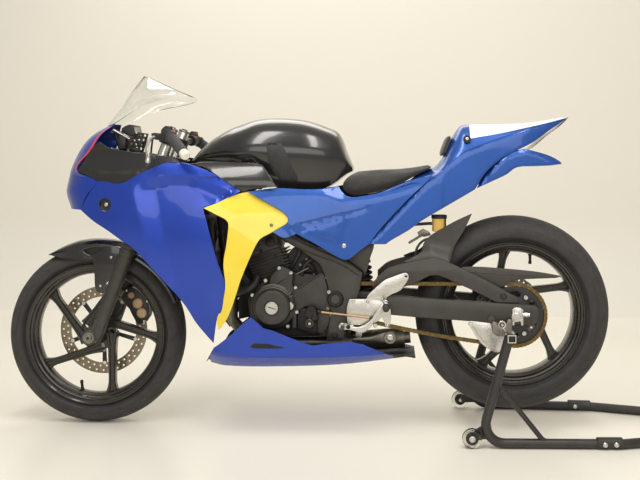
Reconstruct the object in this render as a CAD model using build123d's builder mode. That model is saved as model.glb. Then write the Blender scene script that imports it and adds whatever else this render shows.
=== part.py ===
from build123d import *
import math
import os

os.makedirs("parts", exist_ok=True)

# A small race-prepared sport bike on its rear paddock stand, in millimetres.
# +X points forward, +Y to the rider's left, +Z up. The origin is on the floor under the middle of
# the bike and stand together. The steering is straight at rest.

# ---------------------------------------------------------------- driving sizes
wheelbase = 1370
front_tyre_radius = 293
front_tyre_width = 110
rear_tyre_radius = 316
rear_tyre_width = 140
rear_wheel_lift = 65  # how far the stand holds the rear tyre off the floor
stand_reach = 683  # stand handle behind the rear axle
rim_seat_radius = 216
rim_lip_radius = 226
rim_inner_radius = 190
front_rim_width = 94
rear_rim_width = 120
spoke_count = 5
lug_proud = 3  # axle lugs beyond the fork leg, each way
rake_deg = 20  # from upright, with the tail raised on the stand
fork_spread = 92  # leg centre to centre plane
fork_lead = 16  # axle ahead of the leg, square to the leg
yoke_offset = 22  # leg ahead of the steering axis, square to it
steering_lock_deg = 30
slider_radius = 23
stanchion_radius = 18.5
panel_thickness = 4
fit_gap = 0.3  # parts that seat on each other
axle_play = 0.05
chain_line = 88  # chain centre to centre plane
chain_width = 16
sprocket_clearance = 5
rear_sprocket_radius = 89
front_sprocket_radius = 30
chain_band = 10
sprocket_thickness = 6
sprocket_carrier_radius = 46
stand_tube_radius = 15
roller_radius = 30
roller_width = 24

rim_lip = 6
barrel_flare = 24
spoke_half = 14
spoke_widths = (30, 26)  # at the hub and at the rim
flange_half = 9  # hub flange, half its thickness
front_spoke_deg = 40  # first spoke's outer end, up from straight ahead
rear_spoke_deg = 11
front_spoke_sweep = 47  # how far a spoke's line passes from the axle
rear_spoke_sweep = 62
front_hub_radius = 30
front_hub_half = 58
rear_hub_radius = 52
rear_hub_half = 72
front_axle_radius = 8
front_axle_half = 124
front_axle_bore = 5  # the hollow axle takes the pin of an axle stand
rear_axle_radius = 9
axle_collar_radius = 15
axle_nut = 10
disc_carrier_land = 22
front_disc_radius = 148
front_disc_inner = 112
front_disc_thickness = 5
front_disc_y = -front_hub_half - fit_gap - front_disc_thickness
rear_disc_radius = 110
rear_disc_inner = 82
rear_disc_thickness = 5
rear_disc_y = -rear_hub_half - fit_gap - rear_disc_thickness
disc_hub_radius = 22

total_length = stand_reach + wheelbase + front_tyre_radius
front_axle_x = total_length / 2 - front_tyre_radius
rear_axle_x = front_axle_x - wheelbase
front_axle_z = front_tyre_radius
rear_axle_z = rear_tyre_radius + rear_wheel_lift

# The chassis datum lies on the floor, a fixed way behind and below the front axle. Side-view
# tables give x ahead of it and z above it.
front_axle_ahead = 880
front_axle_above = 293
chassis_x = front_axle_x - front_axle_ahead
chassis_z = front_axle_z - front_axle_above

arm_inner = 103  # swingarm beam, inner and outer face
arm_outer = 133
fender_clearance = 18  # inside of the fender's crown over the tyre
fender_overlap = 9  # how far its skirt reaches down beside the tyre
fender_side_gap = 7
hugger_clearance = 27
hugger_side_gap = 9
hugger_skirt_gap = 6  # hugger skirt above the tyre's crown
guard_wall = 3
reservoir_drop = 45  # brake reservoir's foot below the height of the rear tyre's crown
reservoir_at = (-246, 40)
reservoir_radius = 20
reservoir_height = 34
reservoir_cap_height = 12

swing_pivot = (80, 440)
pivot_shaft_radius = 9
front_sprocket_at = (165, 440)


# ---------------------------------------------------------------- helpers
def at(x, z):
    """A side-view point of the chassis tables, in the row frame."""
    return (chassis_x + x, chassis_z + z)


def place(x, y, z):
    """A point of the chassis tables with its distance from the centre plane."""
    return (chassis_x + x, y, chassis_z + z)


def rear_at(x, z):
    """A side-view point measured from the rear axle."""
    return (rear_axle_x + x, rear_axle_z + z)


def side(y, centre=(0, 0)):
    """The upright plane at y. Its own x is +X and its own y is +Z; its normal is -Y."""
    return Plane(origin=(centre[0], y, centre[1]), x_dir=(1, 0, 0), z_dir=(0, -1, 0))


def plate(outline, inner_y, outer_y):
    """A flat plate with a side-view outline, between two distances from the centre plane."""
    with BuildPart() as piece:
        with BuildSketch(side(inner_y)):
            with BuildLine():
                Polyline(*outline, close=True)
            make_face()
        extrude(amount=inner_y - outer_y)
    return piece.part


def drum(centre, radius, inner_y, outer_y, bore=0):
    """A round piece across the bike, bored through when bore is given."""
    with BuildPart() as piece:
        with BuildSketch(side(inner_y, centre)):
            Circle(radius)
            if bore:
                Circle(bore, mode=Mode.SUBTRACT)
        extrude(amount=inner_y - outer_y)
    return piece.part


def rod(start, end, radius):
    """A straight round bar between two points."""
    with BuildPart() as piece:
        axis = Vector(*end) - Vector(*start)
        with BuildSketch(Plane(origin=start, z_dir=axis)):
            Circle(radius)
        extrude(amount=axis.length)
    return piece.part


def bent_tube(points, radius, bend):
    """A round tube along straight runs joined by tangent bends."""
    with BuildPart() as piece:
        with BuildLine() as path:
            FilletPolyline(*points, radius=bend)
        with BuildSketch(Plane(origin=points[0], z_dir=path.line % 0)):
            Circle(radius)
        sweep()
    return piece.part


def both_sides(*solids):
    """The given solids and their mirror images."""
    with BuildPart() as piece:
        for solid in solids:
            add(solid)
        mirror(about=Plane.XZ)
    return piece.part


def save(part, name):
    """Label one finished piece and write it."""
    part.label = name
    export_step(part, f"parts/{name}.step")


# ---------------------------------------------------------------- steering frame
rake = math.radians(rake_deg)
fork_up = Vector(-math.sin(rake), 0, math.cos(rake))
fork_ahead = Vector(math.cos(rake), 0, math.sin(rake))
front_axle = Vector(front_axle_x, 0, front_axle_z)
leg_foot = front_axle - fork_ahead * fork_lead
steer_foot = leg_foot - fork_ahead * yoke_offset


def on_leg(along, y, ahead=0):
    """A point measured up the fork leg from axle level, out from the centre and ahead of the leg."""
    point = leg_foot + fork_up * along + fork_ahead * ahead
    return (point.X, y, point.Z)


def on_steer(along):
    """A point of the steering axis, measured up it from axle level."""
    point = steer_foot + fork_up * along
    return (point.X, 0, point.Z)


# ---------------------------------------------------------------- wheels
def turned(profile, axle):
    """A ring turned about an axle across the bike, from (across, radius) points."""
    with BuildPart() as piece:
        with BuildSketch(Plane(origin=(axle[0], 0, axle[1]), x_dir=(0, 1, 0), z_dir=(1, 0, 0))):
            with BuildLine():
                Polyline(*profile, close=True)
            make_face()
        revolve(axis=Axis((axle[0], 0, axle[1]), (0, 1, 0)))
    return piece.part


def tyre_ring(axle, radius, width, rim_width):
    """A tyre: beads inside the rim lips, bulging walls and a round crown."""
    seat = rim_seat_radius + fit_gap
    bead = rim_width / 2 - rim_lip - fit_gap
    clear_lip = rim_lip_radius + 2
    shoulder = width / 2
    shoulder_radius = radius - width * 0.4
    middle = (clear_lip + shoulder_radius) / 2
    with BuildPart() as piece:
        with BuildSketch(Plane(origin=(axle[0], 0, axle[1]), x_dir=(0, 1, 0), z_dir=(1, 0, 0))):
            with BuildLine():
                Polyline((-bead, clear_lip), (-bead, seat), (bead, seat), (bead, clear_lip))
                ThreePointArc((bead, clear_lip), (shoulder - 3, middle), (shoulder, shoulder_radius))
                ThreePointArc((shoulder, shoulder_radius), (0, radius), (-shoulder, shoulder_radius))
                ThreePointArc((-shoulder, shoulder_radius), (3 - shoulder, middle), (-bead, clear_lip))
            make_face()
        revolve(axis=Axis((axle[0], 0, axle[1]), (0, 1, 0)))
    return piece.part


def spoke_outline(axle, angle_deg, start, end, start_width, end_width, sweep=0):
    """Four side-view corners of a tapering spoke. The angle is at its outer end.

    The spoke's line passes the axle at the sweep distance, and start and end are measured along
    that line from where it comes nearest to the axle.
    """
    angle = math.radians(angle_deg) + math.asin(sweep / math.hypot(end, sweep))
    out = (math.cos(angle), math.sin(angle))
    nearest = (axle[0] + sweep * out[1], axle[1] - sweep * out[0])
    corners = ((start, -start_width), (end, -end_width), (end, end_width), (start, start_width))
    return [
        (nearest[0] + r * out[0] - w / 2 * out[1], nearest[1] + r * out[1] + w / 2 * out[0])
        for r, w in corners
    ]


def wheel_rim(axle, rim_width, hub_radius, hub_half, bore, first_spoke_deg, sweep):
    """A cast wheel: rim barrel with lips, hub with its flange, and swept spokes, bored for the axle."""
    lip = rim_width / 2
    seat = lip - rim_lip
    barrel = [
        (-lip, rim_lip_radius),
        (-seat, rim_lip_radius),
        (-seat, rim_seat_radius),
        (seat, rim_seat_radius),
        (seat, rim_lip_radius),
        (lip, rim_lip_radius),
        (lip, rim_seat_radius - rim_lip),
        (lip - barrel_flare, rim_inner_radius),
        (barrel_flare - lip, rim_inner_radius),
        (-lip, rim_seat_radius - rim_lip),
    ]
    with BuildPart() as piece:
        add(turned(barrel, axle))
        add(drum(axle, hub_radius, -hub_half, hub_half))
        add(drum(axle, sweep + spoke_widths[0] / 2, -flange_half, flange_half))
        for number in range(spoke_count):
            angle_deg = first_spoke_deg + number * 360 / spoke_count
            end = math.sqrt((rim_inner_radius + 4) ** 2 - sweep**2)
            outline = spoke_outline(axle, angle_deg, 0, end, *spoke_widths, sweep)
            add(plate(outline, -spoke_half, spoke_half))
        add(drum(axle, bore, -hub_half - 1, hub_half + 1), mode=Mode.SUBTRACT)
    return piece.part


def disc_ring(axle, outer, inner, hub, plane_y, thickness, arms):
    """A brake disc: ring, carrier arms and centre, bored clear of the hub."""
    with BuildPart() as piece:
        add(drum(axle, outer, plane_y, plane_y + thickness, inner))
        add(drum(axle, hub + disc_carrier_land, plane_y, plane_y + thickness, hub))
        for number in range(arms):
            outline = spoke_outline(
                axle, 18 + number * 360 / arms, hub + disc_carrier_land / 2, inner + 3, 26, 16
            )
            add(plate(outline, plane_y, plane_y + thickness))
    return piece.part


front_centre = (front_axle_x, front_axle_z)
rear_centre = (rear_axle_x, rear_axle_z)
reservoir_foot = rear_axle_z + rear_tyre_radius - reservoir_drop

save(tyre_ring(front_centre, front_tyre_radius, front_tyre_width, front_rim_width), "front_tyre")
save(tyre_ring(rear_centre, rear_tyre_radius, rear_tyre_width, rear_rim_width), "rear_tyre")

save(
    wheel_rim(
        front_centre,
        front_rim_width,
        front_hub_radius,
        front_hub_half,
        front_axle_radius + axle_play,
        front_spoke_deg,
        front_spoke_sweep,
    ),
    "front_rim",
)
save(
    wheel_rim(
        rear_centre,
        rear_rim_width,
        rear_hub_radius,
        rear_hub_half,
        rear_axle_radius + axle_play,
        rear_spoke_deg,
        rear_spoke_sweep,
    ),
    "rear_rim",
)


save(
    disc_ring(
        front_centre,
        front_disc_radius,
        front_disc_inner,
        disc_hub_radius,
        front_disc_y,
        front_disc_thickness,
        5,
    ),
    "front_disc",
)
save(
    disc_ring(
        rear_centre,
        rear_disc_radius,
        rear_disc_inner,
        disc_hub_radius,
        rear_disc_y,
        rear_disc_thickness,
        5,
    ),
    "rear_disc",
)

with BuildPart() as rear_sprocket:
    half = sprocket_thickness / 2
    add(drum(rear_centre, rear_sprocket_radius, chain_line - half, chain_line + half))
    add(drum(rear_centre, sprocket_carrier_radius, rear_hub_half + fit_gap, chain_line))
    add(drum(rear_centre, rear_axle_radius + axle_play, 0, chain_line + 5), mode=Mode.SUBTRACT)
save(rear_sprocket.part, "rear_sprocket")

# ---------------------------------------------------------------- axles
leg_inner = fork_spread - slider_radius
front_spacer = (front_hub_half + fit_gap, leg_inner - lug_proud - fit_gap)
rear_left_spacer = (chain_line + sprocket_thickness / 2 + fit_gap, arm_inner - fit_gap)
rear_right_spacer = (rear_hub_half + fit_gap, arm_inner - fit_gap)
rear_nut = (arm_outer + fit_gap, arm_outer + fit_gap + axle_nut)

with BuildPart() as front_axle_piece:
    add(drum(front_centre, front_axle_radius, -front_axle_half, front_axle_half))
    add(both_sides(drum(front_centre, front_axle_radius + 6, *front_spacer)))
    add(both_sides(drum(front_centre, front_axle_radius + 4, front_axle_half - 6, front_axle_half)))
    add(drum(front_centre, front_axle_bore, -front_axle_half - 1, front_axle_half + 1), mode=Mode.SUBTRACT)
save(front_axle_piece.part, "front_axle")

with BuildPart() as rear_axle_piece:
    add(drum(rear_centre, rear_axle_radius, -rear_nut[1] - 2, rear_nut[1] + 2))
    add(drum(rear_centre, axle_collar_radius, *rear_left_spacer))
    add(drum(rear_centre, axle_collar_radius, -rear_right_spacer[1], -rear_right_spacer[0]))
    add(both_sides(drum(rear_centre, axle_collar_radius, *rear_nut)))
save(rear_axle_piece.part, "rear_axle")

# ---------------------------------------------------------------- steering assembly
slider_top = 330
stanchion_top = 726
lower_yoke = (438, 464)  # from and to, up the leg
upper_yoke = (600, 618)
clamp = (672, 700)
stem_radius = 15
stem_play = 0.05
yoke_margin = 12

with BuildPart() as fork_leg:
    add(rod(on_leg(-8, fork_spread), on_leg(slider_top, fork_spread), slider_radius))
    add(rod(on_leg(slider_top, fork_spread), on_leg(stanchion_top, fork_spread), stanchion_radius))
    add(drum(front_centre, 20, leg_inner - lug_proud, 2 * fork_spread - leg_inner + lug_proud))
    add(drum(front_centre, front_axle_radius + fit_gap, 0, 2 * fork_spread), mode=Mode.SUBTRACT)
save(both_sides(fork_leg.part), "fork_legs")


def yoke(low, high, bore):
    """A clamp across both legs and the stem, square to the steering axis."""
    foot = leg_foot + fork_up * low
    clamp_radius = bore + yoke_margin
    with BuildPart() as piece:
        with BuildSketch(Plane(origin=foot, x_dir=fork_ahead, z_dir=fork_up)):
            with Locations((0, fork_spread), (0, -fork_spread)):
                Circle(clamp_radius)
            with Locations((-yoke_offset, 0)):
                Circle(stem_radius + 2 * yoke_margin)
            Polygon(
                (clamp_radius * 0.8, fork_spread),
                (-clamp_radius * 0.8, fork_spread),
                (-yoke_offset - stem_radius - yoke_margin, 0),
                (-clamp_radius * 0.8, -fork_spread),
                (clamp_radius * 0.8, -fork_spread),
                align=None,
            )
            with Locations((0, fork_spread), (0, -fork_spread)):
                Circle(bore + fit_gap, mode=Mode.SUBTRACT)
        extrude(amount=high - low)
    return piece.part


with BuildPart() as yokes:
    add(yoke(*lower_yoke, stanchion_radius))
    add(yoke(*upper_yoke, stanchion_radius))
    add(rod(on_steer(lower_yoke[0]), on_steer(upper_yoke[1] + 12), stem_radius))
save(yokes.part, "yokes")

grip_inner = Vector(front_axle_x - 280, 215, front_axle_z + 652)
grip_outer = Vector(front_axle_x - 357, 321, front_axle_z + 583)
bar_radius = 11
grip_radius = 17
bar_root = Vector(*on_leg((clamp[0] + clamp[1]) / 2, fork_spread + stanchion_radius + 8))
grip_run = (grip_outer - grip_inner).normalized()


def on_grip(along):
    """A point of the handlebar, measured out from the grip's inner end."""
    return tuple(grip_inner + grip_run * along)


grip_length = 118
with BuildPart() as clip_on:
    add(rod(on_leg(clamp[0], fork_spread), on_leg(clamp[1], fork_spread), stanchion_radius + 10))
    add(rod(tuple(bar_root), tuple(grip_inner), bar_radius + 2))
    with Locations(grip_inner):
        Sphere(bar_radius + 2)
    add(rod(on_grip(0), on_grip(grip_length + 24), bar_radius))
    add(rod(on_grip(grip_length + fit_gap), on_grip(grip_length + 26), grip_radius - 2))
    clamp_ends = (on_leg(clamp[0] - 1, fork_spread), on_leg(clamp[1] + 1, fork_spread))
    add(rod(*clamp_ends, stanchion_radius + fit_gap), mode=Mode.SUBTRACT)
save(both_sides(clip_on.part), "clip_on_bars")

with BuildPart() as grip:
    add(rod(on_grip(14), on_grip(grip_length), grip_radius))
    add(rod(on_grip(0), on_grip(grip_length + 1), bar_radius + fit_gap), mode=Mode.SUBTRACT)
save(both_sides(grip.part), "hand_grips")

lever_root = Vector(front_axle_x - 224, 172, front_axle_z + 650)
lever_bend = Vector(front_axle_x - 214, 222, front_axle_z + 624)
lever_ball = Vector(front_axle_x - 237, 312, front_axle_z + 571)
lever_radius = 6
perch_at = bar_root + (grip_inner - bar_root) * 0.75


def run(points, radius):
    """Straight round bars from point to point, with round knees."""
    with BuildPart() as piece:
        for start, end in zip(points, points[1:]):
            add(rod(tuple(start), tuple(end), radius))
        for knee in points[1:-1]:
            with Locations(tuple(knee)):
                Sphere(radius)
    return piece.part


with BuildPart() as lever:
    perch_run = (grip_inner - bar_root).normalized()
    add(rod(tuple(perch_at - perch_run * 13), tuple(perch_at + perch_run * 13), bar_radius + 8))
    add(rod(tuple(perch_at), tuple(lever_root), 9))
    add(run([lever_root, lever_bend, lever_ball], lever_radius))
    with Locations(lever_root):
        Sphere(12)
    with Locations(lever_ball):
        Sphere(9)
    add(rod(tuple(bar_root), tuple(grip_inner), bar_radius + 2 + fit_gap), mode=Mode.SUBTRACT)
save(both_sides(lever.part), "hand_levers")

# ---------------------------------------------------------------- front fender and caliper
fender_crown = front_tyre_radius + fender_clearance + guard_wall
fender_skirt = front_tyre_radius - fender_overlap
fender_half = front_tyre_width / 2 + fender_side_gap
fender_start_deg = 59
fender_end_deg = 158


def wheel_guard(centre, crown, skirt, half, wall, start_deg, end_deg):
    """A guard bent round a tyre: a domed channel swept from one angle to another."""
    start = math.radians(start_deg)
    radial_plane = Plane(
        origin=(centre[0], 0, centre[1]), x_dir=(0, 1, 0), z_dir=(math.sin(start), 0, -math.cos(start))
    )
    with BuildPart() as piece:
        with BuildSketch(radial_plane):
            with BuildLine():
                Polyline(
                    (half, skirt),
                    (half - 4, crown - 18),
                    (half * 0.6, crown - 4),
                    (0, crown),
                    (-half * 0.6, crown - 4),
                    (4 - half, crown - 18),
                    (-half, skirt),
                    (wall - half, skirt),
                    (4 + wall - half, crown - 18 - wall / 2),
                    (-half * 0.6, crown - 4 - wall),
                    (0, crown - wall),
                    (half * 0.6, crown - 4 - wall),
                    (half - 4 - wall, crown - 18 - wall / 2),
                    (half - wall, skirt),
                    close=True,
                )
            make_face()
        revolve(
            axis=Axis((centre[0], 0, centre[1]), (0, -1, 0)), revolution_arc=end_deg - start_deg
        )
    return piece.part


with BuildPart() as front_fender:
    add(
        wheel_guard(
            front_centre,
            fender_crown,
            fender_skirt,
            fender_half,
            guard_wall,
            fender_start_deg,
            fender_end_deg,
        )
    )
    stay_outline = [
        (front_axle_x + 4, front_axle_z + 250),
        (front_axle_x - 15, front_axle_z + 168),
        (front_axle_x - 40, front_axle_z + 151),
        (front_axle_x - 72, front_axle_z + 151),
        (front_axle_x - 116, front_axle_z + 272),
        (front_axle_x - 72, front_axle_z + 298),
        (front_axle_x + 60, front_axle_z + 286),
    ]
    stay_outer = leg_inner - fit_gap
    stay = plate(stay_outline, stay_outer - 7, stay_outer)
    add(stay)
    add(stay.mirror(Plane.XZ))
save(front_fender.part, "front_fender")

caliper_gap = sprocket_clearance
with BuildPart() as front_caliper:
    disc_outer_face = front_disc_y
    disc_inner_face = front_disc_y + front_disc_thickness
    caliper_side = [
        on_leg(88, 0, -slider_radius - fit_gap),
        on_leg(190, 0, -slider_radius - fit_gap),
        on_leg(185, 0, -slider_radius - 52),
        on_leg(95, 0, -slider_radius - 62),
    ]
    caliper_outline = [(x, z) for x, _, z in caliper_side]
    add(plate(caliper_outline, disc_outer_face - caliper_gap - 22, disc_inner_face + caliper_gap + 8))
    slot = (disc_outer_face - caliper_gap, disc_inner_face + caliper_gap)
    groove = drum(front_centre, front_disc_radius + caliper_gap, *slot)
    add(groove, mode=Mode.SUBTRACT)
    leg_room = rod(on_leg(0, -fork_spread), on_leg(slider_top, -fork_spread), slider_radius + fit_gap)
    add(leg_room, mode=Mode.SUBTRACT)
save(front_caliper.part, "front_caliper")

# ---------------------------------------------------------------- main frame
rail_radius = 11
rail_half = 88
rail_end_half = 70
cross_rod_radius = 9
frame_tube_at = (24, 556)  # upper shock mount, across the frame
frame_tube_radius = 13
engine_bolt_at = (84, 314)
engine_bolt_radius = 11
spar_radius = 20
head_radius = 32
head = (470, 594)
spar_half = 105  # spar centre to centre plane at the engine
frame_plate = (104, 122)
hanger_radius = 5
pivot_centre = at(*swing_pivot)


spar_knee = place(430, 84, 722)
lower_arm_root = Vector(*on_steer(500)) + Vector(-20, 22, 0)
lower_arm_radius = spar_radius - 6
plate_outline = [
    (60, 560), (169, 569), (120, 531), (107, 454), (113, 299), (54, 308),
    (48, 417), (9, 431), (-7, 504), (-20, 547), (-34, 598), (-20, 606),
]
with BuildPart() as main_frame:
    spar = run(
        [
            Vector(*on_steer(548)) + Vector(-20, 26, 0),
            spar_knee,
            place(232, spar_half, 630),
            place(40, frame_plate[0] + 8, 546),
        ],
        spar_radius,
    )
    lower_arm = run([lower_arm_root, spar_knee], lower_arm_radius)
    outline = [at(x, z) for x, z in plate_outline]
    gusset = plate([at(430, 735), at(372, 712), at(352, 596), at(386, 590)], 82, 90)
    lug_outline = [at(172, 604), at(214, 622), at(204, 672), at(176, 672)]
    rail_lug = plate(lug_outline, rail_half + rail_radius + fit_gap, spar_half)
    tank_post = plate([at(386, 706), at(402, 712), at(402, 799.2), at(386, 799.2)], 84, 92)
    add(both_sides(spar, lower_arm, plate(outline, *frame_plate), gusset, rail_lug, tank_post))
    add(drum(pivot_centre, pivot_shaft_radius - fit_gap, -frame_plate[1], frame_plate[1]))
    add(drum(pivot_centre, 22, frame_plate[1], frame_plate[1] + 6))
    add(drum(pivot_centre, 22, -frame_plate[1] - 6, -frame_plate[1]))
    add(drum(at(*engine_bolt_at), engine_bolt_radius, -frame_plate[0], frame_plate[0]))
    add(drum(at(*frame_tube_at), frame_tube_radius, -frame_plate[0], frame_plate[0]))
    add(rod(on_steer(head[0]), on_steer(head[1]), head_radius))
    add(rod(on_steer(head[0] - 1), on_steer(head[1] + 1), stem_radius + stem_play), mode=Mode.SUBTRACT)
save(main_frame.part, "main_frame")

# ---------------------------------------------------------------- subframe
with BuildPart() as subframe:
    upper_rail = run(
        [
            place(190, rail_half, 660),
            place(-10, rail_half, 724),
            place(-150, rail_half, 760),
            place(-300, rail_end_half, 862),
        ],
        rail_radius,
    )
    lower_rail = run([place(0, rail_half, 590), place(-190, rail_half, 770)], rail_radius)
    post_outline = [at(171, 668), at(186, 662), at(186, 791.7), at(171, 791.7)]
    tank_post = plate(post_outline, rail_half - 4, rail_half + 4)
    add(both_sides(upper_rail, lower_rail, tank_post))
    for x, z, half in ((-60, 737, rail_half), (-300, 862, rail_end_half)):
        add(rod(place(x, -half, z), place(x, half, z), cross_rod_radius))
    hanger_z = reservoir_foot + reservoir_height / 2 - chassis_z
    hanger_end = reservoir_at[0] + reservoir_radius + 11
    add(rod(place(-70, rail_half, 660), place(hanger_end, reservoir_at[1], hanger_z), hanger_radius))
    hanger_tip = place(hanger_end - 11 + fit_gap, reservoir_at[1], hanger_z)
    add(rod(place(hanger_end, reservoir_at[1], hanger_z), hanger_tip, hanger_radius))
    add(both_sides(drum(at(0, 590), 12, rail_half, frame_plate[0] - fit_gap)))
save(subframe.part, "subframe")

# ---------------------------------------------------------------- engine
case_left = 72
case_right = -96
engine_floor = 300
cylinder_half = 72
fin_count = 4
fin_pitch = 20
with BuildPart() as engine:
    case_outline = [
        at(340, 470), at(372, 420), at(360, 330), at(300, engine_floor), at(130, engine_floor), at(118, 350),
        at(118, 430), at(140, 500), at(240, 512),
    ]
    add(plate(case_outline, case_right, case_left))
    barrel_outline = [at(236, 500), at(345, 462), at(378, 556), at(268, 594)]
    add(plate(barrel_outline, -cylinder_half + 8, cylinder_half - 8))
    head_outline = [at(262, 588), at(376, 550), at(398, 618), at(380, 650), at(300, 668), at(282, 650)]
    add(plate(head_outline, -cylinder_half, cylinder_half))
    for number in range(fin_count):
        foot = 224 + number * 7
        rise = 508 + number * fin_pitch
        fin = [
            at(foot, rise),
            at(foot + 126, rise - 43),
            at(foot + 128, rise - 37),
            at(foot + 2, rise + 6),
        ]
        add(plate(fin, -cylinder_half, cylinder_half))
    lug_half = frame_plate[0] - 11
    add(plate([at(136, 300), at(100, 306), at(100, 330), at(136, 345)], -lug_half, lug_half))
    add(plate([at(340, 640), at(385, 640), at(385, 596), at(340, 596)], -82 + fit_gap, 82 - fit_gap))
    bolt_room = drum(at(*engine_bolt_at), engine_bolt_radius + fit_gap, -frame_plate[0], frame_plate[0])
    add(bolt_room, mode=Mode.SUBTRACT)
save(engine.part, "engine")

# ---------------------------------------------------------------- engine covers, left and right
cover_out = 150
cover_step = 34  # height of the left cover's narrower end
alternator_at = (281, 404)
alternator_radius = 74
with BuildPart() as engine_covers:
    cover_in = case_left + fit_gap
    guard_in = chain_line + chain_width / 2 + 6
    guard_out = guard_in + 14
    add(drum(at(*alternator_at), alternator_radius, cover_in, cover_out - cover_step))
    add(drum(at(*alternator_at), alternator_radius - 12, cover_out - cover_step, cover_out))
    add(drum(at(*alternator_at), 19, cover_out, cover_out + 6))
    upper_cover = [at(228, 468), at(330, 455), at(318, 520), at(282, 534), at(250, 520)]
    add(plate(upper_cover, cover_in, cover_out - cover_step))
    sprocket_cover = [at(212, 468), at(124, 512), at(113, 454), at(113, 352), at(140, 318), at(205, 330)]
    add(plate(sprocket_cover, guard_in, guard_out))
    add(plate([at(222, 464), at(208, 468), at(208, 332), at(222, 332)], cover_in, guard_out))
    add(drum(at(160, 372), 12, guard_in + 6, cover_out - 8))
    add(drum(at(265, 400), 88, case_right - 44, case_right - fit_gap))
    add(drum(at(175, 430), 52, case_right - 36, case_right - fit_gap))
save(engine_covers.part, "engine_covers")

# ---------------------------------------------------------------- drive chain
def belt(start, start_radius, end, end_radius, inner_y, outer_y):
    """A solid wrapped round two wheels, from their centres and radii."""
    run_x = end[0] - start[0]
    run_z = end[1] - start[1]
    heading = math.atan2(run_z, run_x)
    lean = math.acos((start_radius - end_radius) / math.hypot(run_x, run_z))
    corners = []
    for centre, radius, sign in (
        (start, start_radius, 1), (end, end_radius, 1), (end, end_radius, -1), (start, start_radius, -1)
    ):
        angle = heading + sign * lean
        corners.append((centre[0] + radius * math.cos(angle), centre[1] + radius * math.sin(angle)))
    with BuildPart() as piece:
        add(plate(corners, inner_y, outer_y))
        add(drum(start, start_radius, inner_y, outer_y))
        add(drum(end, end_radius, inner_y, outer_y))
    return piece.part


chain_span = (chain_line - chain_width / 2, chain_line + chain_width / 2)
small_sprocket_at = at(*front_sprocket_at)
with BuildPart() as drive_chain:
    rear_wrap = rear_sprocket_radius + sprocket_clearance
    front_wrap = front_sprocket_radius
    outer_wraps = (rear_wrap + chain_band, small_sprocket_at, front_wrap + chain_band)
    inner_wraps = (rear_wrap, small_sprocket_at, front_wrap)
    add(belt(rear_centre, *outer_wraps, *chain_span))
    add(belt(rear_centre, *inner_wraps, chain_span[0] - 1, chain_span[1] + 1), mode=Mode.SUBTRACT)
    half = sprocket_thickness / 2
    add(drum(small_sprocket_at, front_sprocket_radius + 1, chain_line - half, chain_line + half))
    add(drum(small_sprocket_at, 12, case_left + fit_gap, chain_line + sprocket_thickness))
save(drive_chain.part, "drive_chain")

# ---------------------------------------------------------------- exhaust and radiator
header_radius = 19
header_bend = 34
silencer_radius = 34
silencer_y = -50
outlet_radius = 20
with BuildPart() as exhaust:
    header = [
        place(382, -20, 610),
        place(440, -20, 560),
        place(436, -20, 340),
        place(372, -40, 262),
        place(55, silencer_y, 263),
    ]
    add(bent_tube(header, header_radius, header_bend))
    silencer_end = place(-140, silencer_y, 282)
    add(rod(place(70, silencer_y, 262), silencer_end, silencer_radius))
    add(rod(silencer_end, place(-160, silencer_y, 284), outlet_radius))
    add(plate([at(378, 590), at(404, 590), at(404, 640), at(378, 640)], -48, 8))
    add(engine.part, mode=Mode.SUBTRACT)
save(exhaust.part, "exhaust")

radiator_half = 130
with BuildPart() as radiator:
    add(plate([at(478, 480), at(500, 474), at(522, 690), at(500, 696)], -radiator_half, radiator_half))
    add(plate([at(468, 500), at(482, 500), at(501, 680), at(486, 682)], -90, 90))
    add(both_sides(plate([at(502, 690), at(518, 688), at(520, 736), at(504, 736)], 56, 64)))
    arm_room = rod(tuple(lower_arm_root), spar_knee, lower_arm_radius + fit_gap)
    add(both_sides(arm_room), mode=Mode.SUBTRACT)
    top_room = plate([at(470, 732), at(560, 732), at(560, 760), at(470, 760)], -100, 100)
    add(top_room, mode=Mode.SUBTRACT)
save(radiator.part, "radiator")

# ---------------------------------------------------------------- tank and covers
# x, floor z, floor half-width, widest z, widest half-width, top z
tank_stations = [
    (528, 858, 60, 862, 66, 873),
    (490, 857, 92, 880, 98, 932),
    (400, 800, 118, 890, 136, 990),
    (285, 796, 124, 890, 146, 1012),
    (170, 792, 112, 880, 138, 1002),
    (83, 824, 84, 874, 108, 966),
    (34, 838, 60, 842, 68, 856),
]


def tank_section(x, floor_z, floor_half, wide_z, wide_half, top_z):
    """One section of the tank: a flat floor, flared sides and a round top."""
    wide = chassis_z + wide_z
    low = chassis_z + floor_z
    top = chassis_z + top_z
    with BuildSketch(Plane.YZ.offset(chassis_x + x)) as section:
        with BuildLine():
            Line((-floor_half, low), (floor_half, low))
            Line((floor_half, low), (wide_half, wide))
            ThreePointArc((wide_half, wide), (0, top), (-wide_half, wide))
            Line((-wide_half, wide), (-floor_half, low))
        make_face()
    return section.sketch


with BuildPart() as fuel_tank:
    for station in tank_stations:
        add(tank_section(*station))
    loft(ruled=True)
save(fuel_tank.part, "fuel_tank")

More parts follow.
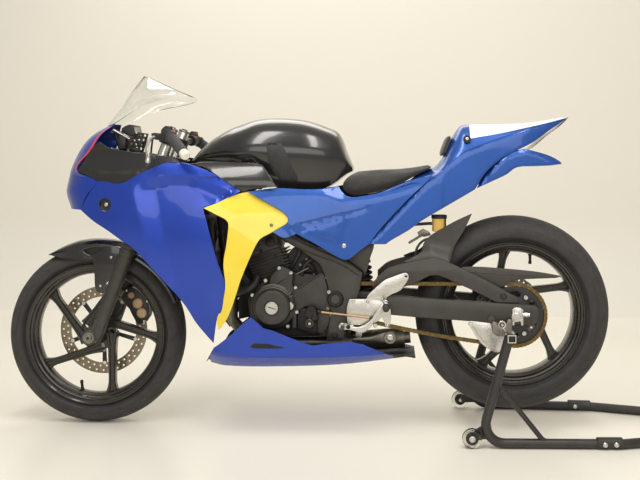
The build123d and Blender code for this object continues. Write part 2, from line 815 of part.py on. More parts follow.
# ---------------------------------------------------------------- fairing skins
# Half-width of the outer skin at each height, for stations along the bike.
skin_levels = (190, 260, 400, 560, 700, 820, 900, 1000)
skin_stations = [
    (1000, (54, 58, 61, 63, 70, 68, 61, 50)),
    (920, (98, 106, 115, 126, 142, 138, 118, 92)),
    (840, (118, 131, 150, 166, 178, 170, 146, 118)),
    (740, (130, 145, 172, 195, 205, 193, 166, 130)),
    (600, (140, 160, 192, 214, 218, 203, 176, 140)),
    (460, (140, 168, 206, 223, 222, 198, 168, 140)),
    (300, (140, 172, 206, 212, 198, 176, 155, 130)),
    (100, (138, 160, 172, 170, 162, 150, 140, 120)),
    (-60, (120, 138, 146, 146, 142, 136, 125, 110)),
    (-260, (90, 110, 118, 120, 120, 118, 112, 100)),
]


def skin_section(x, halves):
    """A section of the left skin: the outer line up, the inner line down."""
    outer = [(half, chassis_z + level) for half, level in zip(halves, skin_levels)]
    inner = [(half - panel_thickness, z) for half, z in reversed(outer)]
    with BuildSketch(Plane.YZ.offset(chassis_x + x)) as section:
        with BuildLine():
            Polyline(*outer, *inner, close=True)
        make_face()
    return section.sketch


with BuildPart() as skin:
    for station in skin_stations:
        add(skin_section(*station))
    loft(ruled=True)


def skin_panel(outline):
    """The part of the left skin inside a side-view outline."""
    with BuildPart() as piece:
        add(skin.part)
        add(plate([at(x, z) for x, z in outline], 10, 300), mode=Mode.INTERSECT)
    return piece.part


side_cowl_outline = [
    (842, 800), (803, 798), (772, 792), (738, 801), (703, 822), (654, 844), (625, 858),
    (596, 860), (557, 859), (519, 848), (460, 824), (378, 772),
    (398, 761), (451, 736), (494, 720), (470, 631), (446, 548), (422, 481),
    (428, 437), (435, 398), (450, 376), (466, 290),
    (518, 355), (567, 430), (703, 579), (752, 613), (801, 645), (850, 673), (897, 708),
]
side_cowl = skin_panel(side_cowl_outline)
save(side_cowl, "side_cowl_left")
save(side_cowl.mirror(Plane.XZ), "side_cowl_right")

vent_outline = [
    (493, 719), (451, 735), (398, 760), (357, 771), (297, 737), (253, 712), (234, 695), (229, 684),
    (234, 672), (258, 657), (287, 640), (311, 627), (323, 612), (335, 588), (354, 544), (373, 496),
    (387, 452), (402, 407), (420, 368), (446, 334), (449, 375.5), (434, 398), (427, 437), (421, 481),
    (427, 548), (418, 607), (413, 655), (414, 675), (426, 686), (455, 700),
]
save(both_sides(skin_panel(vent_outline)), "vent_panels")

seat_side_outline = [
    (356.6, 771.8), (296.6, 737.6), (252.5, 712.6), (233.5, 695.4),
    (228.4, 684), (233.4, 671.5), (257.6, 656.4),
    (276, 645), (240, 627), (204, 640),
    (155, 614), (98, 580), (58, 559), (34, 563), (9, 584), (-22, 606),
    (-65, 663), (-143, 747), (-207, 807), (-222, 829),
    (-159, 811), (-101, 788), (-45, 767), (36, 755), (63, 773),
    (75, 790), (116, 782), (178, 779), (264, 782),
]
save(both_sides(skin_panel(seat_side_outline)), "seat_side_panels")

upper_outline = [
    (915, 830), (842, 800.5), (803, 798.5), (772, 792.5),
    (738, 801.5), (703, 822.5), (654, 844.5), (625, 858.5),
    (596, 860.5), (557, 859.5), (540, 868), (592, 878), (668, 887),
    (730, 893), (800, 905), (838, 925), (868, 900),
]
save(both_sides(skin_panel(upper_outline)), "upper_side_panels")

# ---------------------------------------------------------------- nose
# height, tip x, side x, side half-width
nose_levels = [
    (708, 966, 898, 152),
    (760, 983, 872, 168),
    (800, 978, 843, 172),
    (830, 969, 916, 140),
    (900, 940, 869, 139),
    (950, 900, 848, 105),
    (988, 838, 822, 40),
]


def crescent(height, tip_x, side_x, side_half, thickness):
    """A bowed strip seen from above, from one side round the tip to the other."""
    with BuildSketch(Plane.XY.offset(chassis_z + height)) as section:
        with BuildLine():
            tip = chassis_x + tip_x
            tail = chassis_x + side_x
            ThreePointArc((tail, side_half), (tip, 0), (tail, -side_half))
            Line((tail, -side_half), (tail, thickness - side_half))
            ThreePointArc((tail, thickness - side_half), (tip - thickness, 0), (tail, side_half - thickness))
            Line((tail, side_half - thickness), (tail, side_half))
        make_face()
    return section.sketch


with BuildPart() as nose_cowl:
    for level in nose_levels:
        add(crescent(*level, panel_thickness))
    loft(ruled=True)
save(nose_cowl.part, "nose_cowl")

screen_thickness = 3
# height, front x, side x, side half-width
screen_levels = [
    (982, 853, 830, 48),
    (1040, 806, 712, 116),
    (1078, 780, 590, 172),
    (1115, 756, 655, 100),
    (1146, 735, 722, 28),
]
with BuildPart() as windshield:
    for level in screen_levels:
        add(crescent(*level, screen_thickness))
    loft(ruled=True)
    add(nose_cowl.part, mode=Mode.SUBTRACT)
save(windshield.part, "windshield")

# ---------------------------------------------------------------- tank side covers
tank_cover_outline = [
    (527, 852), (500, 847), (460, 822), (378, 770), (357, 774), (310, 782), (266, 786),
    (311, 852), (338, 860), (432, 864), (520, 862),
]
tank_cover_section = [(140, 868), (186, 826), (196, 766), (192, 766), (182, 824), (137, 865)]
with BuildPart() as tank_cover:
    with BuildSketch(Plane.YZ.offset(chassis_x + 250)):
        with BuildLine():
            Polyline(*[(y, chassis_z + z) for y, z in tank_cover_section], close=True)
        make_face()
    extrude(amount=300)
    add(plate([at(x, z) for x, z in tank_cover_outline], 50, 300), mode=Mode.INTERSECT)
    add(side_cowl, mode=Mode.SUBTRACT)
save(both_sides(tank_cover.part), "tank_side_covers")

# ---------------------------------------------------------------- seat and tail
pad_half = 104
pad_under = [(66, 790), (60, 774), (36, 757), (-45, 769), (-101, 790), (-159, 813), (-177, 831), (-226, 851)]
pad_top = [(-228, 860), (-184, 851), (-121, 843), (-55, 840), (28, 829), (60, 808)]
back_pad = [(-286, 956), (-276, 962), (-250, 896), (-261, 890)]
with BuildPart() as seat_pads:
    add(plate([at(x, z) for x, z in pad_under + pad_top], -pad_half, pad_half))
    add(plate([at(x, z) for x, z in back_pad], -62, 62))
save(seat_pads.part, "seat_pads")

tail_half = 116
tail_wall = 4
base_top = [(x, z - fit_gap) for x, z in pad_under[2:]]
base_under = [(x, z - 4) for x, z in reversed(base_top)]
hump_outline = [
    (-232, 846), (-242, 852), (-262, 889.7), (-287.5, 956),
    (-277, 962.3), (-305, 981), (-331, 993), (-437, 996),
    (-533, 1000), (-668, 1022), (-629, 986), (-584, 954), (-544, 918), (-420, 880), (-300, 850),
]
tail_side_outline = [
    (-23, 606.5), (-66, 663), (-144, 747), (-208, 807), (-217, 820),
    (-214, 845), (-232, 850), (-300, 890), (-420, 930),
    (-544, 918), (-519, 914), (-591, 895), (-630, 877), (-638, 865), (-591, 859), (-498, 854), (-458, 829),
    (-414, 808), (-347, 774), (-200, 686), (-96, 620), (-76, 606.5),
]
# x and half-width, seen from above; half-width and z, seen from behind
tail_plan_half = [(0, 117), (-232, 116), (-420, 108), (-640, 66), (-672, 20)]
tail_plan = tail_plan_half + [(x, -half) for x, half in reversed(tail_plan_half)]
tail_back_half = [(120, 560), (118, 880), (104, 930), (62, 1004), (40, 1030)]
tail_back = tail_back_half + [(-half, z) for half, z in reversed(tail_back_half)]
tail_cavity = [
    (-240, 840), (-268, 889), (-293, 952), (-312, 974), (-437, 988),
    (-533, 990), (-590, 965), (-560, 900), (-420, 860),
]
support_outline = [(-100, 759.2), (-120, 764.4), (-120, 790), (-100, 786)]


def tail_block(outline, inset):
    """A block with a side outline, narrowed in plan and from the front, all set in by the inset."""
    with BuildPart() as piece:
        add(plate([at(x, z) for x, z in outline], -140, 140))
        with BuildSketch(Plane.XY.offset(chassis_z + 500)):
            with BuildLine():
                Polyline(*[(chassis_x + x, y - math.copysign(inset, y)) for x, y in tail_plan], close=True)
            make_face()
        extrude(amount=600, mode=Mode.INTERSECT)
        with BuildSketch(Plane.YZ.offset(chassis_x - 700)):
            with BuildLine():
                Polyline(
                    *[(y - math.copysign(inset, y), chassis_z + z - inset) for y, z in tail_back],
                    close=True,
                )
            make_face()
        extrude(amount=700, mode=Mode.INTERSECT)
    return piece.part


with BuildPart() as tail_cowl:
    add(tail_block(hump_outline, 0))
    add(tail_block(tail_cavity, 5), mode=Mode.SUBTRACT)
    add(both_sides(plate([at(x, z) for x, z in tail_side_outline], tail_half - tail_wall, tail_half)))
    add(plate([at(x, z) for x, z in base_top + base_under], -tail_half, tail_half))
    add(both_sides(plate([at(x, z) for x, z in support_outline], rail_half - 8, rail_half + 8)))
save(tail_cowl.part, "tail_cowl")

# ---------------------------------------------------------------- belly pan
# x, floor z, floor half-width, chine z, wall half-width
belly_stations = [
    (488, 210, 70, 262, 158),
    (440, 205, 92, 256, 168),
    (300, 206, 104, 250, 172),
    (60, 216, 98, 254, 160),
    (-176, 240, 60, 262, 104),
]
belly_top = 390
belly_outline = [
    (487, 227), (467, 203), (297, 202), (86, 212), (-57, 224), (-173, 238), (-143, 268), (-105, 296),
    (-10, 300), (38, 305), (103, 297), (152, 292), (185, 298),
    (229, 311), (277, 329), (306, 341), (334, 370),
    (346, 380), (407, 320), (464, 275),
]


def belly_section(x, floor_z, floor_half, chine_z, wall_half):
    """A section of the belly pan: an open channel with sloping chines."""
    outer = [(wall_half + 6, belly_top), (wall_half, chine_z), (floor_half, floor_z)]
    inner = [(wall_half + 2, belly_top), (wall_half - 4, chine_z + 2), (floor_half - 2, floor_z + 4)]
    right = [(-y, z) for y, z in reversed(outer)]
    right_inner = [(-y, z) for y, z in inner]
    points = outer + right + right_inner + list(reversed(inner))
    with BuildSketch(Plane.YZ.offset(chassis_x + x)) as section:
        with BuildLine():
            Polyline(*[(y, chassis_z + z) for y, z in points], close=True)
        make_face()
    return section.sketch


with BuildPart() as belly_pan:
    for station in belly_stations:
        add(belly_section(*station))
    loft(ruled=True)
    add(plate([at(x, z) for x, z in belly_outline], -300, 300), mode=Mode.INTERSECT)
    hanger_top = engine_floor - fit_gap
    hanger = [at(150, 210), at(168, 210), at(168, hanger_top), at(150, hanger_top)]
    add(plate(hanger, 40, 56))
    add(plate(hanger, -92, -76))
save(belly_pan.part, "belly_pan")

# ---------------------------------------------------------------- instrument and its stay
with BuildPart() as instrument:
    add(plate([at(796, 985), at(778, 990), at(764, 950), at(772, 946), at(802, 948)], -58, 58))
save(instrument.part, "instrument")

stay_half = 24
stay_radius = 7
with BuildPart() as cowl_stay:
    stay_run = run(
        [
            Vector(*on_steer(532)) + Vector(12, stay_half, 4),
            place(800, stay_half, 890),
            place(824, stay_half, 960),
        ],
        stay_radius,
    )
    add(both_sides(stay_run))
    add(plate([at(784, 905), at(808, 905), at(806, 947.6), at(778, 945.6)], -50, 50))
    add(rod(place(815, -100, 900), place(815, 100, 900), 6))
    add(rod(place(824, -60, 960), place(824, 60, 960), 6))
    add(rod(on_steer(head[0]), on_steer(head[1]), head_radius + fit_gap), mode=Mode.SUBTRACT)
save(cowl_stay.part, "cowl_stay")

# ---------------------------------------------------------------- swingarm
# The front ends are given from the chassis, the rear ends from the rear axle.
beam_front = [(-282, 369), (-167, 376), (-93, 382), (-48, 392), (-48, 452), (-91, 443), (-134, 441)]
beam_rear = [(128, 45), (-68, 32), (-72, 19), (-67, -28), (99, -19)]
brace_front = [
    (-224, 507), (-199, 499), (-158, 479), (-90, 452), (-80, 436),
    (-48, 440), (-48, 500), (-85, 530), (-148, 549),
    (-210, 562),
]
brace_rear = [
    (244, 181), (211, 169), (88, 106), (19, 71), (-8, 44),
    (60, 41), (128, 77), (193, 106), (242, 124),
]
brace_inner = arm_inner + 8
brace_outer = arm_outer - 5
arm_wall = (66, 78)  # the arm's forward legs, beside the tyre
bobbin_centre = rear_at(46, -23)
bobbin_radius = 10
bobbin_length = 18
with BuildPart() as swingarm:
    beam_outline = [at(x, z) for x, z in beam_front] + [rear_at(x, z) for x, z in beam_rear]
    brace_outline = [at(x, z) for x, z in brace_front] + [rear_at(x, z) for x, z in brace_rear]
    beam = plate(beam_outline, arm_inner, arm_outer)
    brace = plate(brace_outline, brace_inner, brace_outer)
    inner_arm = plate([at(96, 456), at(-92, 444), at(-92, 386), at(96, 424)], *arm_wall)
    bridge = plate([at(-56, 446), at(-92, 443), at(-92, 385), at(-56, 391)], -arm_inner, arm_inner)
    bobbin = drum(bobbin_centre, bobbin_radius, arm_outer, arm_outer + bobbin_length)
    add(both_sides(beam, brace, inner_arm, bobbin))
    add(bridge)
    add(drum(pivot_centre, 2 * pivot_shaft_radius, -arm_wall[1], arm_wall[1]))
    add(plate([at(-56, 400), at(-20, 395), at(-20, 385), at(-92, 385)], -16, 16))
    add(drum(rear_centre, rear_axle_radius + fit_gap, -200, 200), mode=Mode.SUBTRACT)
    add(drum(pivot_centre, pivot_shaft_radius, -200, 200), mode=Mode.SUBTRACT)
save(swingarm.part, "swingarm")

# ---------------------------------------------------------------- hugger and guards on the swingarm
hugger_crown = rear_tyre_radius + hugger_clearance + guard_wall
hugger_half = rear_tyre_width / 2 + hugger_side_gap
hugger_skirt = rear_tyre_radius + hugger_skirt_gap
hugger_fin = [
    (140, 322), (212, 282), (268, 248), (300, 223), (330, 181),
    (294, 175), (222, 194), (203, 231), (157, 289),
]
hugger_tab = [(330, 159), (240, 159), (250, 199), (320, 194)]
with BuildPart() as rear_hugger:
    add(wheel_guard(rear_centre, hugger_crown, hugger_skirt, hugger_half, guard_wall, 18, 64))
    fin = [rear_at(x, z) for x, z in hugger_fin]
    tab = [rear_at(x, z) for x, z in hugger_tab]
    add(both_sides(plate(fin, hugger_half - guard_wall, hugger_half + 1)))
    add(both_sides(plate(tab, hugger_half - guard_wall, brace_inner - fit_gap)))
save(rear_hugger.part, "rear_hugger")

sprocket_fin = [
    (156, -19), (128, -51), (98, -91), (53, -112), (43, -81), (38, -55), (62, -43), (58, -19),
]
chain_blade = [
    (190, 119), (170, 150), (145, 151), (10, 141), (-150, 124), (20, 108), (60, 89), (130, 101),
]
with BuildPart() as chain_guards:
    add(plate([rear_at(x, z) for x, z in chain_blade], arm_inner + 2, brace_inner - fit_gap))
    add(plate([rear_at(x, z) for x, z in sprocket_fin], arm_outer + fit_gap, arm_outer + 4))
    add(drum(bobbin_centre, bobbin_radius + fit_gap, 0, 300), mode=Mode.SUBTRACT)
save(chain_guards.part, "chain_guards")

# ---------------------------------------------------------------- rear shock and linkage
with BuildPart() as rear_shock:
    add(rod(place(2, 0, 552), place(-14, 0, 420), 10))
    for number in range(5):
        low = 440 + number * 20
        add(rod(place(-12 + number * 2.4, 0, low), place(-11 + number * 2.4, 0, low + 9), 28))
    add(rod(place(-14, 0, 422), place(-20, 0, 384), 14))
    add(plate([at(22, 562), at(-14, 566), at(-16, 540), at(8, 532), at(24, 546)], -12, 12))
    add(plate([at(-38, 385), at(-38, 360), at(10, 300), at(40, 296), at(34, 318), at(-8, 385)], -14, 14))
    frame_tube = drum(at(*frame_tube_at), frame_tube_radius + fit_gap, -100, 100)
    add(frame_tube, mode=Mode.SUBTRACT)
    add(swingarm.part, mode=Mode.SUBTRACT)
save(rear_shock.part, "rear_shock")

# ---------------------------------------------------------------- rearsets
set_plate = (136, 144)
with BuildPart() as rearset:
    base = [(76, 380), (74, 352), (35, 352), (-89, 353), (-91, 426), (-58, 432), (32, 432)]
    add(plate([at(x, z) for x, z in base], *set_plate))
    heel = [(-18, 430), (-75, 430), (-128, 477), (-149, 508), (-138, 516), (-90, 492), (-18, 440)]
    add(plate([at(x, z) for x, z in heel], *set_plate))
    add(drum(at(66, 366), 8, frame_plate[1] + fit_gap, set_plate[0]))
    add(rod(place(-79, set_plate[1], 405), place(-79, 226, 414), 11))
    pedal = [(60, 341), (64, 354), (12, 347), (-8, 362), (-70, 412), (-80, 402), (-16, 346), (12, 333)]
    add(plate([at(x, z) for x, z in pedal], set_plate[1] + 2, set_plate[1] + 9))
    add(drum(at(58, 347), 7, set_plate[1] + 2, set_plate[1] + 46))
    add(drum(at(-79, 405), 13, set_plate[1] - 1, set_plate[1] + 9))
    add(rod(place(-26, set_plate[1] + 5, 372), place(137, cover_out - 4, 390), 4))
save(both_sides(rearset.part), "rearsets")

# ---------------------------------------------------------------- rear caliper and reservoir
with BuildPart() as rear_caliper:
    block = [rear_at(52, 52), rear_at(104, 40), rear_at(124, 74), rear_at(112, 92), rear_at(60, 104)]
    add(plate(block, 8 - arm_inner, rear_disc_y + rear_disc_thickness + 13))
    groove = drum(rear_centre, rear_disc_radius + 5, rear_disc_y - 5, rear_disc_y + rear_disc_thickness + 5)
    add(groove, mode=Mode.SUBTRACT)
    hanger = [rear_at(60, 30), rear_at(120, 30), rear_at(120, 70), rear_at(70, 90)]
    add(plate(hanger, fit_gap - arm_inner, 8 - arm_inner))
save(rear_caliper.part, "rear_caliper")

with BuildPart() as brake_reservoir:
    foot = place(*reservoir_at, reservoir_foot - chassis_z)
    neck = (foot[0], foot[1], foot[2] + reservoir_height)
    cap_top = (foot[0], foot[1], neck[2] + reservoir_cap_height)
    add(rod(foot, neck, reservoir_radius))
    add(rod(neck, cap_top, reservoir_radius + 3))
save(brake_reservoir.part, "brake_reservoir")

# ---------------------------------------------------------------- paddock stand
stand_bend = 58
leg_y = 262
tail_y = 245
handle_half = 122
stand_z = stand_tube_radius
handle_x = rear_axle_x - stand_reach + stand_tube_radius


def stand_point(x, y, z):
    """A point of the stand, from x behind or ahead of the rear axle."""
    return (rear_axle_x + x, y, z)


roller_pin_radius = 6
roller_centre = (rear_axle_x + 147, roller_radius)
leg_top = stand_point(36, leg_y, rear_axle_z - 40)
knee = stand_point(123, leg_y, stand_z)
straight_end = stand_point(-310, tail_y, stand_z)
handle_corner = (handle_x, handle_half, stand_z)
with BuildPart() as paddock_stand:
    corners = [leg_top, knee, straight_end, handle_corner, (handle_x, 0, stand_z)]
    left_tube = bent_tube(corners, stand_tube_radius, stand_bend)
    right_tube = left_tube.mirror(Plane.XZ)
    add(left_tube)
    add(right_tube)
    socket = [rear_at(18, -34), rear_at(44, -34), rear_at(44, -58), rear_at(18, -58)]
    hook = [
        rear_at(12, -58), rear_at(16, -6), rear_at(28, -6), rear_at(33, -24), rear_at(40, -33.3),
        rear_at(52, -33.3), rear_at(60, -24), rear_at(64, -14), rear_at(76, -14), rear_at(74, -46),
        rear_at(58, -60),
    ]
    brace = rod(stand_point(66, leg_y - 2, 190), stand_point(-74, leg_y - 7, stand_z + 8), 10)
    sleeve_ends = (stand_point(-232, 250, stand_z + 3), stand_point(-308, 245, stand_z + 3))
    sleeve = rod(*sleeve_ends, stand_tube_radius + 3)
    arm = [stand_point(149, 0, 22), stand_point(155, 0, 40), stand_point(104, 0, 74), stand_point(90, 0, 40)]
    arm_plate = plate([(x, z) for x, _, z in arm], leg_y - 20, leg_y - 12)
    pin = drum(roller_centre, roller_pin_radius, leg_y - 20, leg_y + 18)
    add(both_sides(plate(socket, 140, leg_y + 22), plate(hook, arm_outer + 5, arm_outer + 15), brace, sleeve))
    add(both_sides(arm_plate, pin))
save(paddock_stand.part, "paddock_stand")

roller_mid = leg_y + 2
for name, flip in (("left", 1), ("right", -1)):
    near = flip * roller_mid - roller_width / 2
    bore = roller_pin_radius + axle_play
    roller = drum(roller_centre, roller_radius, near, near + roller_width, bore)
    save(roller, f"stand_roller_{name}")
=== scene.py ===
"""Looks of a race-prepared sport bike on its paddock stand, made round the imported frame.

Points and sizes are millimetres in the row frame (+X forward, +Y to the rider's left, +Z up).
Meshes are made in metres, with one factor, MM, in one place.
"""
import math

import bmesh
import bpy
import numpy as np
from mathutils import Matrix, Vector
from mathutils.geometry import delaunay_2d_cdt


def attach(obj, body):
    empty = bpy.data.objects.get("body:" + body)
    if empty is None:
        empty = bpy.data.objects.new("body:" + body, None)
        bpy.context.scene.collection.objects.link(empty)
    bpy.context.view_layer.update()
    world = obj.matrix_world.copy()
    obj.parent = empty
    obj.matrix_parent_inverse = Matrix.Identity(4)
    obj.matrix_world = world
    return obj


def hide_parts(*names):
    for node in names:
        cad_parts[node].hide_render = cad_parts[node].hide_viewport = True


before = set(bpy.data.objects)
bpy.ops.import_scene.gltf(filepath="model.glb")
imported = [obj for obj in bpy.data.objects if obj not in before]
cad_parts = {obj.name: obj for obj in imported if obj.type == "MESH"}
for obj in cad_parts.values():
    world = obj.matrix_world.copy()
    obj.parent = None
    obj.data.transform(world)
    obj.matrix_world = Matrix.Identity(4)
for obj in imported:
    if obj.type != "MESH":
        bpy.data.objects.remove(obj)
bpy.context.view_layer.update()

MM = 0.001
ACROSS = (0, 1, 0)
UP = (0, 0, 1)


# ---------------------------------------------------------------- sizes shared with the frame
FRONT = (880, 293)  # axle centres, x and z
REAR = (-490, 381)
FRONT_TYRE = (293, 110)  # radius and width
REAR_TYRE = (316, 140)
RIM_SEAT = 223
RIM_LIP = 232
RIM_INNER = 200
FRONT_RIM_WIDTH = 94
REAR_RIM_WIDTH = 120
RAKE = math.radians(20)
LEG_SPREAD = 92
LEG_AHEAD = 22  # of the steering axis
LEG_FOOT = (864.96, 287.53)  # the leg's centre line at axle level
STEER_FOOT = (844.29, 0, 280)  # the steering axis at axle level
CHAIN_LINE = 88
CASE_FACE = 72.3  # left face of the engine case, and of the rear hub
FRONT_SPROCKET = (165, 440)
PIVOT = (80, 440)  # the swingarm's
SHOCK_PIVOT = (84, 314)
FRAME_TUBE = (24, 556)
ALTERNATOR = (284, 401)
CLUTCH = (265, 400)
WATER_PUMP = (164, 352)
ROLLER_AXLE = (-343, 30)
RESERVOIR = (-249, 40)  # x and y


# ---------------------------------------------------------------- materials
def nodes_of(name):
    """A new material with its node tree and its shader."""
    material = bpy.data.materials.new(name)
    material.use_nodes = True
    tree = material.node_tree
    shader = tree.nodes["Principled BSDF"]
    return material, tree, shader


def noise_node(tree, scale, detail=3.0, stretch=(1, 1, 1)):
    """Noise in the object's own space, in features per metre."""
    place = tree.nodes.new("ShaderNodeTexCoord")
    mapping = tree.nodes.new("ShaderNodeMapping")
    mapping.inputs["Scale"].default_value = stretch
    noise = tree.nodes.new("ShaderNodeTexNoise")
    noise.inputs["Scale"].default_value = scale
    noise.inputs["Detail"].default_value = detail
    tree.links.new(place.outputs["Object"], mapping.inputs["Vector"])
    tree.links.new(mapping.outputs["Vector"], noise.inputs["Vector"])
    return noise


def ranged(tree, source, low, high):
    """The source's middle values spread over low to high."""
    spread = tree.nodes.new("ShaderNodeMapRange")
    spread.inputs["From Min"].default_value = 0.3
    spread.inputs["From Max"].default_value = 0.7
    spread.inputs["To Min"].default_value = low
    spread.inputs["To Max"].default_value = high
    tree.links.new(source, spread.inputs["Value"])
    return spread.outputs["Result"]


def surface(
    name, colour, rough, metal=0.0, coat=0.0, spread=0.08, patch=14, rough_spread=0.05,
    grain=0.0, grain_scale=900, stretch=(1, 1, 1), sheen=0.0,
):
    """A finish: colour in soft patches, uneven roughness, and a fine grain in relief."""
    material, tree, shader = nodes_of(name)
    patches = noise_node(tree, patch, 4.0, stretch)
    ramp = tree.nodes.new("ShaderNodeValToRGB")
    ramp.color_ramp.elements[0].position = 0.3
    ramp.color_ramp.elements[1].position = 0.7
    for element, factor in zip(ramp.color_ramp.elements, (1 - spread, 1 + spread)):
        element.color = [min(c * factor, 1) for c in colour] + [1]
    tree.links.new(patches.outputs["Fac"], ramp.inputs["Fac"])
    tree.links.new(ramp.outputs["Color"], shader.inputs["Base Color"])
    scuffs = noise_node(tree, patch * 5, 5.0, stretch)
    tree.links.new(
        ranged(tree, scuffs.outputs["Fac"], max(rough - rough_spread, 0.02), rough + rough_spread),
        shader.inputs["Roughness"],
    )
    shader.inputs["Metallic"].default_value = metal
    shader.inputs["Coat Weight"].default_value = coat
    shader.inputs["Coat Roughness"].default_value = 0.04
    shader.inputs["Sheen Weight"].default_value = sheen
    if grain:
        relief = noise_node(tree, grain_scale, 2.0, stretch)
        bump = tree.nodes.new("ShaderNodeBump")
        bump.inputs["Strength"].default_value = grain
        bump.inputs["Distance"].default_value = 0.0006
        tree.links.new(relief.outputs["Fac"], bump.inputs["Height"])
        tree.links.new(bump.outputs["Normal"], shader.inputs["Normal"])
    return material


def clear(name, colour, rough, ior):
    """Clear plastic or glass with faint haze."""
    material, tree, shader = nodes_of(name)
    shader.inputs["Base Color"].default_value = (*colour, 1)
    shader.inputs["Transmission Weight"].default_value = 1.0
    shader.inputs["IOR"].default_value = ior
    haze = noise_node(tree, 30, 5.0)
    tree.links.new(ranged(tree, haze.outputs["Fac"], rough, rough + 0.06), shader.inputs["Roughness"])
    return material


BLUE = surface(
    "blue_metallic", (0.010, 0.050, 0.42), 0.33, metal=0.55, coat=0.55, spread=0.07, patch=9, grain=0.10,
    grain_scale=2600,
)
SEAT_BLUE = surface(
    "blue_metallic_rear", (0.014, 0.080, 0.36), 0.36, metal=0.5, coat=0.55, spread=0.06, patch=9,
    grain=0.10, grain_scale=2600,
)
# The nose tip's blue lightened to violet: a painted reflection of the room on the blue paint.
PAINTED_REFLECTION_VIOLET = surface(
    "violet_blue_painted_reflection", (0.17, 0.17, 0.42), 0.30, metal=0.4, coat=0.8, spread=0.15, patch=12,
)
RED = surface("red_edge_film", (0.75, 0.03, 0.02), 0.35, coat=0.4)
YELLOW = surface("yellow_paint", (0.86, 0.66, 0.035), 0.36, coat=0.8, spread=0.06, patch=7)
WHITE = surface("white_paint", (0.86, 0.87, 0.88), 0.32, coat=0.7, spread=0.03)
GLOSS_BLACK = surface("gloss_black", (0.013, 0.0125, 0.012), 0.24, coat=0.5, spread=0.1, rough_spread=0.015)
GRIP_BLACK = surface("ribbed_black_pad", (0.02, 0.02, 0.02), 0.5, spread=0.2)
SATIN_BLACK = surface("satin_black", (0.022, 0.021, 0.020), 0.42, spread=0.18, grain=0.12, grain_scale=1500)
FRAME = surface(
    "grey_brown_paint", (0.052, 0.047, 0.042), 0.44, metal=0.25, spread=0.12, patch=22, grain=0.15,
    grain_scale=1400,
)
WHEEL = surface(
    "wheel_paint", (0.034, 0.030, 0.026), 0.29, metal=0.35, coat=0.35, rough_spread=0.03,
    grain=0.03, grain_scale=1400,
)
ENGINE = surface(
    "engine_casting", (0.048, 0.044, 0.040), 0.48, metal=0.35, spread=0.15, patch=30, grain=0.35,
    grain_scale=1100,
)
DARK = surface("dark_metal", (0.018, 0.017, 0.016), 0.45, metal=0.4, spread=0.2, patch=40)
SILVER = surface(
    "brushed_aluminium", (0.58, 0.565, 0.53), 0.30, metal=1.0, spread=0.07, patch=20, grain=0.2,
    stretch=(1, 1, 6),
)
STEEL = surface("bright_steel", (0.62, 0.61, 0.58), 0.26, metal=1.0, spread=0.10, patch=50)
DULL_STEEL = surface("dull_steel", (0.24, 0.22, 0.19), 0.42, metal=0.9, spread=0.2, patch=40)
CHAIN = surface("chain_brass", (0.17, 0.115, 0.045), 0.42, metal=0.9, spread=0.3, patch=120)
DISC = surface("disc_bronze", (0.27, 0.225, 0.155), 0.33, metal=0.85, spread=0.10, patch=30, grain=0.15)
TYRE = surface(
    "tyre_rubber", (0.028, 0.027, 0.026), 0.62, spread=0.22, patch=20, rough_spread=0.10, grain=0.35,
    grain_scale=1200,
)
TREAD = surface(
    "tyre_tread", (0.040, 0.038, 0.036), 0.72, spread=0.18, patch=35, rough_spread=0.08, grain=0.6,
)
RUBBER = surface("grip_rubber", (0.055, 0.056, 0.06), 0.55, spread=0.12, grain=0.4, grain_scale=1500)
SEAT = surface(
    "seat_foam", (0.045, 0.043, 0.040), 0.85, spread=0.18, patch=30, grain=0.9, grain_scale=1600, sheen=0.3,
)
PLASTIC = surface("black_plastic", (0.020, 0.020, 0.021), 0.55, spread=0.15, grain=0.3, grain_scale=1300)
CREAM = surface("cream_plastic", (0.80, 0.78, 0.68), 0.42, spread=0.05)
STAND = surface(
    "stand_paint", (0.036, 0.033, 0.031), 0.38, metal=0.2, spread=0.15, patch=25, grain=0.2,
    grain_scale=800,
)
COPPER = surface("oiled_rod", (0.50, 0.34, 0.20), 0.35, metal=0.9, spread=0.12)
SCREEN = clear("clear_screen", (0.97, 0.98, 0.98), 0.02, 1.45)
ROLLER = clear("clear_roller", (0.80, 0.80, 0.74), 0.12, 1.40)


